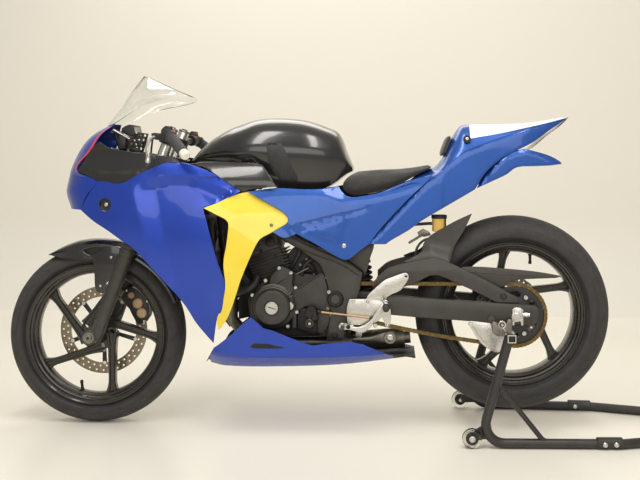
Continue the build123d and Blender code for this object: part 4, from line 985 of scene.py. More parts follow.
seat_side = Shape().paint(SEAT_BLUE)
skin_panel(
    seat_side, seat_outline, seat_lift, [circle((55, 602), 3.4, 16)], [BLADE_TOP, BLADE_LOW, SEAT_FOLD],
    lining=PLASTIC,
)
screw(seat_side, (55, skin(55, 602) + 0.5, 602), ACROSS, 7, 3)
seat_side.mirror().make("seat_side_panels", "cowl_blue", sharp=12)

upper = Shape().paint(GLOSS_BLACK)
upper_outline = loop(
    [(915, 830)],
    [
        (842, 800.5), (803, 798.5), (772, 792.5), (738, 801.5), (703, 822.5), (654, 844.5), (625, 858.5),
        (596, 860.5), (557, 859.5),
    ],
    [(540, 868), (592, 878), (668, 887), (730, 893), (800, 905)], [(838, 925), (868, 900)],
)
UPPER_FOLD = [(900, 850), (840, 836), (780, 830), (720, 836), (660, 858)]
upper_drop = fold(UPPER_FOLD, 5, 12, (20, 20))


def upper_lift(x, z):
    """The panel lies a little inside the cowl and turns out again towards its top."""
    return -2.5 + upper_drop(x, z) + 16 * clamped((z - 850) / 60) ** 2 * clamped((x - 560) / 120)


skin_panel(upper, upper_outline, upper_lift, [], [UPPER_FOLD])
upper.mirror().make("upper_side_panels", "gloss_black", sharp=14)


# ---------------------------------------------------------------- nose and screen
# height, tip x, side x, side half-width
NOSE = [
    (708, 966, 898, 152), (760, 983, 872, 168), (800, 978, 843, 172), (830, 969, 916, 140),
    (900, 940, 869, 139), (950, 900, 848, 105), (988, 838, 822, 40),
]
WINDSHIELD = [
    (982, 853, 830, 48), (1040, 806, 712, 116), (1078, 780, 590, 172), (1115, 756, 655, 100),
    (1146, 735, 722, 28),
]


def bowed(level, across, out=0.0):
    """A point of a bowed shell. across runs from -1 on the right, over 0 at the tip, to 1 on the left."""
    height, tip, side_x, half = level
    reach = tip - side_x
    radius = (reach**2 + half**2) / (2 * reach)
    middle = tip - radius
    span = math.atan2(half, side_x - middle)
    angle = across * span
    return (middle + (radius + out) * math.cos(angle), (radius + out) * math.sin(angle), height)


def sheet(shape, outer, inner, pick=None):
    """A sheet between two grids of points. pick(row, column) gives the material of the outer side."""
    start = shape.materials[shape.now]
    count = len(outer[0])
    groups = {}
    for r in range(len(outer) - 1):
        for i in range(count - 1):
            face = (r * count + i, r * count + i + 1, (r + 1) * count + i + 1, (r + 1) * count + i)
            groups.setdefault(pick(r, i) if pick else start, []).append(face)
    for material, faces in groups.items():
        shape.paint(material)
        shape.add([p for row in outer for p in row], faces)
    shape.paint(start)
    backs = [tuple(reversed(f)) for faces in groups.values() for f in faces]
    shape.add([p for row in inner for p in row], backs)
    shape.rows([border(outer), border(inner)], ends=False)


def shell(shape, table, levels, columns, thick, paint=None):
    """A bowed shell with closed edges. paint(across, height) picks a material."""
    keys = list(zip(*table))
    heights = np.linspace(keys[0][0], keys[0][-1], levels)
    rows = [(z, *(curve(keys[0], column, z) for column in keys[1:])) for z in heights]
    rows[0], rows[-1] = table[0], table[-1]
    spread = np.linspace(-1, 1, columns)

    def pick(r, i):
        """The material of one face."""
        return paint((spread[i] + spread[i + 1]) / 2, (rows[r][0] + rows[r + 1][0]) / 2)

    outer = [[bowed(level, a) for a in spread] for level in rows]
    inner = [[bowed(level, a, -thick) for a in spread] for level in rows]
    sheet(shape, outer, inner, pick if paint else None)


def nose_paint(across, height):
    """A violet field at the tip, which is a painted reflection of the room on the blue paint, a red edge at
    the back, and blue between.
    """
    # the violet field at the tip is painted reflection
    if abs(across) < 0.42 + (height - 830) / 900:
        return PAINTED_REFLECTION_VIOLET
    if abs(across) > 0.93 and height > 830:
        return RED
    return BLUE


nose = Shape().paint(BLUE)
shell(nose, NOSE, 41, 61, 4, nose_paint)
nose.make("nose_cowl", "cowl_blue", sharp=20)

screen = Shape().paint(SCREEN)
shell(screen, WINDSHIELD, 29, 57, 3)
screen.make("windshield", "screen_clear", sharp=40)


# ---------------------------------------------------------------- tank
TANK_X = [34, 52, 67, 83, 121, 168, 214, 285, 350, 401, 448, 490, 518, 545, 562]
TANK_TOP = [856, 897, 938, 964, 982, 998, 1007, 1011, 1006, 990, 971, 946, 925, 898, 876]
TANK_FLOOR = [838, 829, 818, 805, 784, 781, 781, 789, 862, 862, 862, 862, 861, 861, 862]
TANK_WIDE = [848, 862, 872, 880, 886, 890, 892, 894, 896, 894, 888, 880, 874, 868, 866]
TANK_HALF = [66, 92, 104, 112, 126, 138, 143, 146, 144, 136, 120, 102, 84, 62, 40]


def tank_size(x):
    """Top, floor, height of the widest line and half-width of the tank."""
    return [curve(TANK_X, row, x) for row in (TANK_TOP, TANK_FLOOR, TANK_WIDE, TANK_HALF)]


def tank_half(x, z):
    """Half-width of the tank at a side-view point."""
    top, floor, wide, half = tank_size(x)
    if z <= wide:
        t = (wide - z) / max(wide - floor, 1)
        return half * (1 - 0.16 * t**1.5)
    rise = min((z - wide) / (top - wide), 1)
    return half * (1 - rise**2.1) ** (1 / 1.75)


TANK_SEAM = [(490, 866), (475, 912), (453, 941), (427, 964), (403, 982)]
PAD_PROUD = 1.4
PAD = [(305, 925), (259, 924), (246, 903), (224, 852), (206, 806), (261, 806), (284, 833), (300, 871)]

tank = Shape().paint(GLOSS_BLACK)
rows = []
for x in np.linspace(TANK_X[0], TANK_X[-1], 133):
    top, floor, wide, half = tank_size(x)
    row = [(x, y, floor) for y in np.linspace(-half * 0.84, half * 0.84, 17)]
    heights = [floor + (wide - floor) * t for t in np.linspace(0.04, 0.96, 14)]
    heights += [wide + (top - wide) * math.sin(a) for a in np.linspace(0.02, math.pi / 2, 34)]
    sides = [(tank_half(x, z), z) for z in heights]
    for number, (y, z) in enumerate(sides):
        if y > 12 and x > 395:
            left, along, length = beside(TANK_SEAM, x, z)
            y += 1.6 * clamped(-left / 3) * (1 if 0 < along < length or left < -20 else 0.4)
            sides[number] = (y, z)
    row += [(x, y, z) for y, z in sides]
    row += [(x, -y, z) for y, z in reversed(sides[:-1])]
    rows.append(row)
tank.rows(rows)

knee = Shape().paint(GRIP_BLACK)
pad_outline = loop(PAD[:1], PAD[1:2], PAD[2:5], PAD[5:])

skin_panel(knee, pad_outline, lambda x, z: PAD_PROUD, cell=8, thick=3, base=tank_half)
for column, x in enumerate(np.arange(212, 304, 11)):
    for z in np.arange(812 + (column % 2) * 7, 922, 14):
        if inside((x, z), inset(anticlockwise(pad_outline), 6)):
            half = tank_half(x, z) + PAD_PROUD
            low, high = tank_half(x, z - 4) + 1.0, tank_half(x, z + 4) + 1.0
            knee.paint(RUBBER)
            knee.add(
                [
                    (x - 1.3, low, z - 4), (x + 1.3, low, z - 4), (x + 1.3, high, z + 4),
                    (x - 1.3, high, z + 4), (x, half + 1.1, z - 2.4), (x, half + 1.1, z + 2.4),
                ],
                [(0, 1, 4), (1, 2, 5, 4), (2, 3, 5), (3, 0, 4, 5)],
            )
tank.take(knee.mirror())
tank.make("fuel_tank", "gloss_black", sharp=35)


def cover_half(x, z):
    """Half-width of the glossy covers under the tank."""
    out = curve([760, 790, 818, 840, 856, 872], [190, 195, 189, 176, 160, 138], z)
    return out - 5 * max(0, (330 - x) / 70) ** 2


cover = Shape().paint(GLOSS_BLACK)
cover_outline = loop(
    [(527, 852), (500, 847), (460, 824), (379, 773)],
    [(357, 776), (310, 783)],
    [(266, 787), (289, 820)],
    [(311, 852), (338, 861)],
    [(432, 865), (520, 862)],
)
skin_panel(cover, cover_outline, base=cover_half, cell=8, thick=3)
cover.mirror().make("tank_side_covers", "gloss_black", sharp=20)


# ---------------------------------------------------------------- seat
SEAT_X = [-228, -184, -121, -55, 0, 31, 50, 62, 68]
SEAT_TOP = [861, 852, 844, 841, 836, 831, 822, 810, 798]
SEAT_UNDER = [853, 834, 798, 774, 762, 758, 764, 774, 784]
SEAT_HALF = [86, 100, 108, 108, 104, 96, 84, 66, 44]

SWELL = 3  # room left for the foam to fill out
PRESSURE = 4
CLOTH_FRAMES = 20


def pressed(pad, cell, cap, floor=None):
    """The foam fills out: an even mesh, a little cloth pressure held within the cap, and a subdivision."""
    scene = bpy.context.scene
    for other in bpy.context.selected_objects:
        other.select_set(False)
    pad.select_set(True)
    bpy.context.view_layer.objects.active = pad
    even = pad.modifiers.new("even", "REMESH")
    even.mode, even.voxel_size, even.use_smooth_shade = "VOXEL", cell * MM, True
    bpy.ops.object.modifier_apply(modifier=even.name)
    start = np.empty(len(pad.data.vertices) * 3)
    pad.data.vertices.foreach_get("co", start)
    cloth = pad.modifiers.new("foam", "CLOTH")
    cloth.settings.use_pressure = True
    cloth.settings.uniform_pressure_force = PRESSURE
    cloth.settings.effector_weights.gravity = 0
    cloth.settings.quality = 6
    cloth.point_cache.frame_start, cloth.point_cache.frame_end = 1, CLOTH_FRAMES
    for step in range(1, CLOTH_FRAMES + 1):
        scene.frame_set(step)
        bpy.context.view_layer.update()
    bpy.ops.object.modifier_apply(modifier=cloth.name)
    moved = np.empty(len(start))
    pad.data.vertices.foreach_get("co", moved)
    start, moved = start.reshape(-1, 3), moved.reshape(-1, 3)
    shift = moved - start
    length = np.linalg.norm(shift, axis=1, keepdims=True)
    shift *= np.minimum(1, cap * MM / np.maximum(length, 1e-9))
    moved = start + shift
    if floor is not None:
        moved[:, 2] = np.maximum(moved[:, 2], floor(moved[:, 0]))
    pad.data.vertices.foreach_set("co", moved.ravel())
    fine = pad.modifiers.new("fine", "SUBSURF")
    fine.levels = 1
    bpy.ops.object.modifier_apply(modifier=fine.name)
    pad.data.polygons.foreach_set("use_smooth", [True] * len(pad.data.polygons))
    scene.frame_set(1)


def seat_floor(x):
    """The seat's base, in metres, that its foam can't sag below."""
    return np.interp(x / MM, SEAT_X, SEAT_UNDER) * MM - MM


def squared(value, power):
    """The value raised to a power, with its sign kept. It squares up a circle."""
    return math.copysign(abs(value) ** power, value)


seat = Shape().paint(SEAT)
rows = []
for x in np.linspace(SEAT_X[0], SEAT_X[-1], 60):
    top, under, half = (curve(SEAT_X, row, x) for row in (SEAT_TOP, SEAT_UNDER, SEAT_HALF))
    top, half = top - SWELL, half - SWELL
    middle, deep = (top + under) / 2, (top - under) / 2
    row = []
    for a in (math.tau * k / 64 for k in range(64)):
        c, s = math.cos(a), math.sin(a)
        row.append((x, half * squared(c, 0.42), middle + deep * squared(s, 0.6)))
    rows.append(row)
seat.rows(rows)
seat_pad = seat.make("seat_pad", "seat_black", replaces=["seat_pads"], sharp=60)
pressed(seat_pad, 5, 6, seat_floor)

back = Shape().paint(SEAT)
lean = Vector((-26, 0, 66)).normalized()
out_way = Vector((66, 0, 26)).normalized()
rows = []
for t in np.linspace(-1, 1, 25):
    edge = (1 - abs(t) ** 5) ** 0.4
    row = []
    for a in (math.tau * k / 40 for k in range(40)):
        c, s = math.cos(a), math.sin(a)
        y = 64 * squared(c, 0.3) * (0.86 + 0.14 * edge)
        row.append(Vector((-264, y, 925)) + lean * (35 * t) + out_way * (8 * s * max(edge, 0.15) - 5))
    rows.append(row)
back.rows(rows)
back_pad = back.make("seat_back_pad", "seat_black", replaces=["seat_pads"], sharp=60)
pressed(back_pad, 4, 5)


# ---------------------------------------------------------------- tail
TAIL_X = [-672, -640, -540, -420, -330, -260]
TAIL_HALF = [20, 62, 92, 107, 114, 118]
CREASE_X = [-668, -648, -540, -437, -358, -317, -262, -208, -150, -90]
CREASE_Z = [1020, 1013, 982, 947, 917, 897, 852, 806, 800, 776]
HUMP_X = [-668, -533, -437, -349, -331, -313, -290, -262, -240, -226, -177, -150, -90]
HUMP_Z = [1022, 1001, 996, 994, 993, 985, 950, 890, 859, 851, 829, 808, 784]


def tail_half(x, z):
    """Half-width of the tail's side."""
    if x >= -260:
        return skin(x, z)
    return curve(TAIL_X, TAIL_HALF, x)


def hump(x, y):
    """Height of the tail's top at a point seen from above."""
    crease, top = curve(CREASE_X, CREASE_Z, x), curve(HUMP_X, HUMP_Z, x)
    half = tail_half(x, crease) - 1
    share = min(abs(y) / half, 1)
    return crease + (top - crease) * (1 - share**2.4) ** 0.9


def white_edge(x):
    """Height of the lower edge of the tail's white field."""
    return curve([-668, -500, -437, -349], [1017, 976, 962, 946], x)


STRIPS = 20
WHITE_END = -345


def tail_shares(x):
    """Shares of the half-width, with as many strips across the white field as on each side of it."""
    crease, top = curve(CREASE_X, CREASE_Z, x), curve(HUMP_X, HUMP_Z, x)
    trial = np.linspace(0, 1, 200)
    heights = crease + (top - crease) * (1 - trial**2.4) ** 0.9
    edge = min(max(float(np.interp(-white_edge(min(x, -349)), -heights, trial)), 0.2), 0.96)
    flank_shares = np.linspace(edge, 1, STRIPS + 1)
    return [*-flank_shares[:0:-1], *np.linspace(-edge, edge, STRIPS + 1), *flank_shares[1:]]


tail = Shape().paint(SEAT_BLUE)
xs = np.linspace(-668, -95, 116)
top_grid = []
for x in xs:
    half = tail_half(x, curve(CREASE_X, CREASE_Z, x)) - 1
    top_grid.append([(x, s * half, hump(x, s * half)) for s in tail_shares(x)])
low_grid = [[(x + 1.5, y * 0.97, z - 4) for x, y, z in row] for row in top_grid]


def tail_paint(row, column):
    """White for the middle strips of the hump."""
    return WHITE if xs[row] < WHITE_END and STRIPS <= column < 2 * STRIPS else SEAT_BLUE


sheet(tail, top_grid, low_grid, tail_paint)

TAIL_SEAM = [(-23, 607), (-66, 663), (-144, 747), (-208, 805)]
TAIL_CREASE = [(-262, 852), (-317, 897), (-358, 917), (-437, 947), (-540, 982), (-648, 1013)]
FIN_SEAM = [(-663, 1016), (-600, 975), (-545, 935), (-486, 905), (-443, 882), (-392, 836), (-362, 787)]
side_tail = loop(
    TAIL_SEAM, TAIL_CREASE, FIN_SEAM, [(-362, 787), (-347, 775), (-200, 688), (-149, 652), (-96, 621)],
    [(-76, 607)],
)
side_tail = distinct(side_tail)


def tail_roll(x, z):
    """The side's upper edge rolls in."""
    top = curve(CREASE_X, CREASE_Z, x) if x < -208 else curve([-208, -23], [806, 607], x)
    return -3 * max(0, 1 - (top - z) / 14) ** 2 - 0.5


flank = Shape().paint(SEAT_BLUE)
skin_panel(flank, side_tail, tail_roll, base=tail_half)
fin_outline = loop(
    [(-365, 786), (-392, 836), (-443, 882), (-486, 905), (-519, 914)],
    [(-519, 914), (-591, 895), (-630, 877), (-639, 866)],
    [(-639, 866), (-591, 860), (-498, 855), (-458, 830), (-414, 809)],
)
fin_outline = distinct(fin_outline)


def fin_lift(x, z):
    """The fin lies inside the tail's side, rolls in at its top and draws in towards the rear."""
    top = curve([-639, -591, -519, -443, -365], [868, 896, 916, 884, 790], x)
    return -5 - 10 * max(0, 1 - (top - z) / 16) ** 2 - 6 * clamped((-x - 480) / 150)


skin_panel(
    flank, fin_outline, fin_lift, base=lambda x, z: curve([-672, -560, -420, -340], [96, 104, 112, 117], x),
)
tail.take(flank.mirror())
tail.paint(GLOSS_BLACK)
under_line = [(-664, 1014), (-629, 984), (-584, 952), (-544, 917), (-440, 876), (-372, 880)]
rows = []
for x, z in along_line(under_line, 14):
    half = tail_half(x, z) - 5
    rows.append([(x, s * half, z) for s in np.linspace(-1, 1, 13)])
tail.rows(rows, around=False)
for flip in (1, -1):
    spot = Vector((-333, flip * 99, 942))
    tail.paint(DARK)
    turned(tail, spot, (0.1, flip, 0.25), [(-6, 12), (5, 12), (6.5, 10), (6.5, 6.5), (3, 6)], 28)
    screw(tail, spot + Vector((0, flip * 3, 1)), (0.1, flip, 0.25), 6, 4)
tail.make("tail_cowl", "tail_white", sharp=24)


# ---------------------------------------------------------------- belly pan
BELLY_THICK = 3.0
BELLY_X = [-176, 60, 300, 440, 488]
BELLY = {  # heights of the floor and the chine, and the half-widths there, at each place along
    "floor": [240, 216, 206, 205, 210], "floor_half": [60, 98, 104, 92, 70],
    "chine": [262, 254, 250, 256, 262], "wall": [104, 160, 172, 168, 158],
}
BELLY_EDGE_X = [-176, -140, -86, -8, 38, 103, 152, 185, 229, 277, 306, 334, 346, 377, 407, 464, 490]
BELLY_EDGE_Z = [240, 248, 254, 289, 300, 295, 288, 298, 315, 334, 341, 366, 376, 350, 320, 275, 228]


def belly_row(x, grow=0.0):
    """One side of the pan's section, from the middle of the floor to its upper edge."""
    floor, floor_half, chine, wall = (
        curve(BELLY_X, BELLY[key], x) for key in ("floor", "floor_half", "chine", "wall")
    )
    top = float(np.interp(x, BELLY_EDGE_X, BELLY_EDGE_Z))
    turn = [
        (0, floor), (floor_half * 0.5, floor), (floor_half - 8, floor), (floor_half - 2, floor + 1.5),
        (floor_half + 6, floor + 7),
    ]
    chine_points = [
        (floor_half + (wall - floor_half) * t, floor + (chine - floor) * t) for t in (0.3, 0.5, 0.7, 0.9)
    ]
    rim = [
        (wall + 6 * (z - chine) / (390 - chine), z) for z in np.linspace(chine + 6, max(top, chine + 8), 8)
    ]
    points = [(y, min(z, max(top, floor + 2))) for y, z in turn + chine_points + rim]
    return [(x, max(y - grow, 0), z + grow) if y > 1 else (x, 0, z + grow) for y, z in points]


belly = Shape().paint(BLUE)
belly_xs = np.unique(np.concatenate([np.linspace(-174, 489, 130), BELLY_EDGE_X[1:-1]]))
outer_rows, inner_rows = [], []
for x in belly_xs:
    row, low = belly_row(x), belly_row(x, BELLY_THICK)
    outer_rows.append([(a, -b, c) for a, b, c in reversed(row)] + row[1:])
    right = [(a, -b, c - (BELLY_THICK if i < 2 else 0)) for i, (a, b, c) in enumerate(reversed(low))]
    last_x, last_y, last_z = low[-1]
    inner_rows.append(right + low[1:-1] + [(last_x, last_y, last_z - BELLY_THICK)])
dark_rows = sum(row[0][0] < -104 for row in outer_rows)
belly.paint(PLASTIC)
belly.rows(outer_rows[:dark_rows + 1], around=False)
belly.rows(inner_rows, around=False)
belly.paint(BLUE)
belly.rows(outer_rows[dark_rows:], around=False)
belly.rows([border(outer_rows), border(inner_rows)], ends=False)


def belly_half(x, z):
    """Half-width of the pan's side at a height."""
    row = belly_row(x)
    return float(np.interp(z, [p[2] for p in row[4:]], [p[1] for p in row[4:]]))


slot = Shape().paint(DARK)
SLOT = loop(
    [(350, 281)], [(336, 293), (292, 292), (262, 285), (238, 279)], [(262, 277), (292, 277), (330, 277)],
    step=5,
)
skin_panel(slot, SLOT, lambda x, z: 0.9, base=belly_half, cell=6, thick=1.6, edge=0.5)
slot.mirror()
belly.take(slot)
belly.paint(BLUE)
for flip in (1, -1):
    screw(belly, (92, flip * 162, 288), (0, flip, 0), 6.5, 3)
belly.make("belly_pan", "cowl_blue", sharp=22)


# ---------------------------------------------------------------- mudguards
def both_halves(half):
    """A section's left half of (across, radius), joined by its mirror image."""
    return half + [(-y, r) for y, r in reversed(half)]


def guard(shape, centre, section, start, end, steps):
    """A guard swept round a wheel. The section gives (across, radius) outside; angles are in degrees."""
    rows = []
    for t in np.linspace(0, 1, steps):
        angle = math.radians(start + (end - start) * t)
        outer = section(t) if callable(section) else section
        inner = [(y * 0.955, r - 3) for y, r in reversed(outer)]
        rows.append([wheel_point(centre, r, angle, y) for y, r in outer + inner])
    shape.rows(rows)


half_section = [(62, 284), (61, 291), (58, 298), (50, 305), (38, 310), (22, 313), (8, 314)]
FENDER = (59, 158, 0.2, 305)  # first and last angle, share of the length that tapers, radius of the tip


def fender_taper(t):
    """How far the fender has closed towards its tip, and how much of its width is left there."""
    return max(0, 1 - t / FENDER[2]), 1 - 0.3 * max(0, 1 - t / 0.12) ** 2


def fender_section(t):
    """The fender's section at a share of its length."""
    closed, wide = fender_taper(t)
    return both_halves([(y * wide, r + (FENDER[3] - r) * closed) for y, r in half_section])


def fender_half(x, z):
    """Half-width of the fender's side."""
    angle = math.degrees(math.atan2(z - FRONT[1], x - FRONT[0]))
    return 62.5 * fender_taper(max(0, (angle - FENDER[0]) / (FENDER[1] - FENDER[0])))[1]


fender = Shape().paint(GLOSS_BLACK)
guard(fender, FRONT, fender_section, *FENDER[:2], 110)
fender_side = Shape().paint(GLOSS_BLACK)
skin_panel(
    fender_side,
    loop(
        [(1035, 553.5)], [(1001, 547), (960, 541), (912, 537), (884, 541)], [(884, 575)],
        [(930, 581), (985, 566)], step=6,
    ),
    base=fender_half, cell=7, thick=2, edge=0.7,
)
LENS = loop([(915, 572)], [(884, 582), (849, 581)], [(869, 564), (884, 558), (900, 561)], step=5)
STAY = loop(
    [(912, 545)], [(881, 543), (877, 502), (875, 458)], [(869, 437), (856, 431), (838, 436), (815, 448)],
    [(784, 490)], [(764, 565)], [(808, 588)], [(870, 594)], [(935, 578)],
)
plate(fender_side, STAY, 61.7, 68.7, 2.0, [LENS])
fender_side.paint(DARK)
plate(fender_side, LENS, 61.8, 63.2, 0.3)
for x, z in ((821, 550), (856, 456), (833, 464)):
    screw(fender_side, (x, 68.5, z), ACROSS, 4.6, 2.5, STEEL)
fender_side.mirror()
fender.take(fender_side)
fender.make("front_fender", "gloss_black", "steering", sharp=30)


# ---------------------------------------------------------------- swingarm
BEAM = [
    (-48, 392), (-48, 452), (-91, 443), (-134, 441), (-362, 427), (-500, 421), (-552, 416), (-561, 408),
    (-562, 388), (-556, 364), (-546, 355), (-470, 358), (-391, 362), (-282, 369), (-167, 376), (-93, 382),
]
BRACE_RUNS = (
    [(-48, 440), (-48, 500)], [(-48, 500), (-85, 530), (-148, 549), (-208, 562)],
    [(-208, 562), (-228, 565), (-248, 562)], [(-248, 562), (-279, 550), (-402, 492), (-471, 454)],
    [(-471, 454), (-497, 442)], [(-497, 442), (-499, 425)], [(-499, 425), (-430, 424)],
    [(-430, 424), (-362, 458), (-297, 487)], [(-297, 487), (-262, 502), (-240, 509), (-216, 507)],
    [(-216, 507), (-158, 479), (-90, 452)],
)
arm = Shape().paint(FRAME)
plate(arm, BEAM, 103, 133, 4)
brace = loop(*[run[:-1] for run in BRACE_RUNS], step=14)
plate(arm, brace, 111, 128, 4)
plate(arm, [(96, 456), (-92, 444), (-92, 386), (96, 424)], 66, 78, 3)
plate(arm, [(-388, 366), (-388, 404), (-385, 404), (-385, 366)], 132, 134, 0.6)
knob(arm, (-412, 372), 132, domed(12, 9, 3))
knob(arm, (-450, 445), 127, domed(10, 5, 2), DARK)
knob(arm, (-450, 445), 131, [(0, 5.5), (2, 5), (2, 2.5), (0.5, 2)], FRAME)
knob(arm, (-444, 358), 133, [(0, 10), (12, 10), (12, 13), (17, 13), (18, 12)], SILVER)
knob(arm, (-444, 358), 151, [(-1, 8), (0, 8), (0, 4.5), (-4, 4)], DARK)
arm.paint(SILVER)
plate(
    arm,
    loop(
        [(-512, 404)], [(-512, 355)], [(-505, 355)], [(-504, 366), (-494, 370), (-485, 366)], [(-484, 355)],
        [(-477, 355)], [(-477, 404), (-485, 411), (-500, 411)], step=4,
    ),
    133, 137.5, 1,
)
bar(arm, (-508, 139, 389), (-532, 139, 389), 6.5, 16)
turned(arm, (-517, 139, 389), (-1, 0, 0), [(0, 8), (6, 8)], 6)
arm.paint(FRAME)
plate(arm, [(-536, 413), (-536, 362), (-540, 362), (-540, 413)], 132, 135, 1)
arm.mirror()
plate(arm, [(-56, 446), (-92, 443), (-92, 385), (-56, 391)], -103, 103, 5)
plate(arm, [(-56, 400), (-20, 395), (-20, 385), (-92, 385)], -16, 16, 2)
knob(arm, PIVOT, -78, [(0, 16), (2, 18), (154, 18), (156, 16)])
arm.make("swingarm", "frame_dark", sharp=24)

hugger = Shape().paint(FRAME)


def hugger_half(x, z):
    """Half-width of the hugger's side: out to the brace at its foot and in to the tyre at the fin."""
    foot = np.interp(x, (-480, -280, -220, -130), (455, 545, 562, 545))
    rise = clamped((z - foot) / 55)
    return 114 - (114 - 82) * rise * rise * (3 - 2 * rise)


FOOT_LINE = (
    [(-135, 552), (-150, 545)], [(-208, 557), (-228, 560), (-246, 557)],
    [(-277, 543), (-284, 560), (-300, 604), (-330, 655)],
)
FIN_TOP = [(-353, 705), (-314, 687), (-283, 671), (-226, 637), (-200, 612), (-189, 583), (-160, 563)]
skin_panel(hugger, loop(FIN_TOP, *FOOT_LINE, step=8), base=hugger_half, cell=8, thick=3, edge=1.0)
far = Shape().paint(FRAME)
FAR_TOP = [(-338, 682), (-300, 664), (-262, 640), (-222, 607), (-196, 580), (-178, 568), (-160, 563)]
skin_panel(
    far, loop(FAR_TOP, *FOOT_LINE[:2], [(-277, 543), (-284, 560), (-300, 604), (-328, 650)], step=8),
    base=hugger_half, cell=8, thick=3, edge=1.0,
)
hugger.take(other_side(far))
half_crown = [(80, 322), (79, 331), (74, 338), (60, 342), (34, 345), (10, 346)]
guard(hugger, REAR, both_halves(half_crown), 18, 61, 50)
hugger.make("rear_hugger", "frame_dark", sharp=24)

blade = Shape().paint(FRAME)
plate(
    blade,
    loop(
        [(-300, 497)], [(-318, 534), (-335, 536), (-382, 536), (-461, 531), (-552, 523), (-617, 513)],
        [(-636, 508)], [(-617, 503), (-522, 498), (-479, 492), (-452, 474)], [(-430, 470)], step=12,
    ),
    105, 110.7, 1.8,
)
bar(blade, (-345, 109.5, 519), (-625, 109.5, 508), 2.2, 10)
blade.make("chain_guard_blade", "frame_dark", replaces=["chain_guards"], sharp=24)

fin = Shape().paint(SILVER)
fin_line = loop(
    [(-338, 357), (-341, 364), (-348, 367)], [(-407, 361)],
    [(-416, 349), (-428, 335), (-443, 326), (-461, 316)], [(-461, 305), (-447, 285)],
    [(-443, 274), (-436, 269), (-426, 269)],
    [(-416, 272), (-397, 283), (-380, 297), (-364, 318), (-350, 340)], step=6,
)
plate(fin, fin_line, 133.4, 137, 1.2, [circle((-347, 358), 3.2, 14)])
hose(fin, [(-352, 137, 352), (-372, 137, 322), (-396, 137, 295), (-430, 137, 278)], 1.6, 8, 6)
fin.paint(COPPER)
plate(
    fin, loop([(-408, 362)], [(-466, 362)], [(-466, 330)], [(-452, 320), (-436, 330), (-420, 345)], step=6),
    133.3, 135.6, 0.8, [circle((-444, 358), 10.5, 20)],
)
fin.make("sprocket_fin", "silver", replaces=["chain_guards"], sharp=24)


# ---------------------------------------------------------------- chain and sprockets
CHAIN_WRAPS = (99, FRONT_SPROCKET, 35)  # rear pitch radius, small sprocket's centre and pitch radius


def chain_loop(links):
    """Joints of the chain, evenly spaced round both sprockets."""
    big, (sx, sz), small = CHAIN_WRAPS
    dx, dz = sx - REAR[0], sz - REAR[1]
    span = math.hypot(dx, dz)
    heading, lean = math.atan2(dz, dx), math.acos((big - small) / span)
    straight = math.sqrt(span**2 - (big - small) ** 2)
    runs = [
        (REAR, big, heading + lean, math.tau - 2 * lean), (None, straight),
        ((sx, sz), small, heading - lean, 2 * lean), (None, straight),
    ]
    length = big * (math.tau - 2 * lean) + small * 2 * lean + 2 * straight
    points = []
    for k in range(links):
        along = length * k / links
        for run in runs:
            size = run[1] * run[3] if run[0] else run[1]
            if along <= size or run is runs[-1]:
                break
            along -= size
        if run[0]:
            angle = run[2] + along / run[1]
            points.append((run[0][0] + run[1] * math.cos(angle), run[0][1] + run[1] * math.sin(angle)))
        else:
            low = run is runs[1]
            angle = heading - lean if low else heading + lean
            first = polar(REAR, big, angle)
            last = (sx + small * math.cos(angle), sz + small * math.sin(angle))
            if not low:
                first, last = last, first
            t = along / straight
            sag = 62 * t * (1 - t) if low else 0
            points.append((first[0] + (last[0] - first[0]) * t, first[1] + (last[1] - first[1]) * t - sag))
    return points


def toothed(centre, count, tooth):
    """The outline of a toothed wheel. tooth gives (radius, share of the pitch) for each point."""
    return [polar(centre, r, math.tau * (k + share) / count) for k in range(count) for r, share in tooth]


chain = Shape().paint(CHAIN)
joints = chain_loop(150)
for k, (here, there) in enumerate(zip(joints, joints[1:] + joints[:1])):
    ahead = (Vector(there) - Vector(here)).normalized()
    across = Vector((-ahead.y, ahead.x))
    outline = []
    for centre, way in ((Vector(there), 1), (Vector(here), -1)):
        for a in (-0.42, -0.2, 0, 0.2, 0.42):
            turn = a * math.pi
            outline.append(
                centre + ahead * (6.3 * math.cos(turn) * way) + across * (6.3 * math.sin(turn) * way)
            )
    middle = (Vector(here) + Vector(there)) / 2
    outline.insert(5, middle + across * 5.3)
    outline.append(middle - across * 5.3)
    inner, outer = (3.6, 5.2) if k % 2 else (5.4, 7.2)
    for side in (-1, 1):
        rows = [[(p.x, CHAIN_LINE + side * y, p.y) for p in outline] for y in (inner, outer)]
        chain.rows(rows)
    knob(chain, here, CHAIN_LINE - 7.9, [(0, 2.4), (15.8, 2.4)], sides=8)
    knob(chain, here, CHAIN_LINE - 3.4, [(0, 4.4), (6.8, 4.4)], sides=10)
chain.paint(DARK)
small_teeth = toothed(FRONT_SPROCKET, 15, ((31, 0.0), (28, 0.3), (28, 0.7)))
plate(chain, small_teeth, CHAIN_LINE - 3, CHAIN_LINE + 3, 0.8)
knob(chain, FRONT_SPROCKET, CASE_FACE, [(0, 12), (21, 12), (22, 11)])
chain.make("drive_chain", "chain_gold", sharp=35)

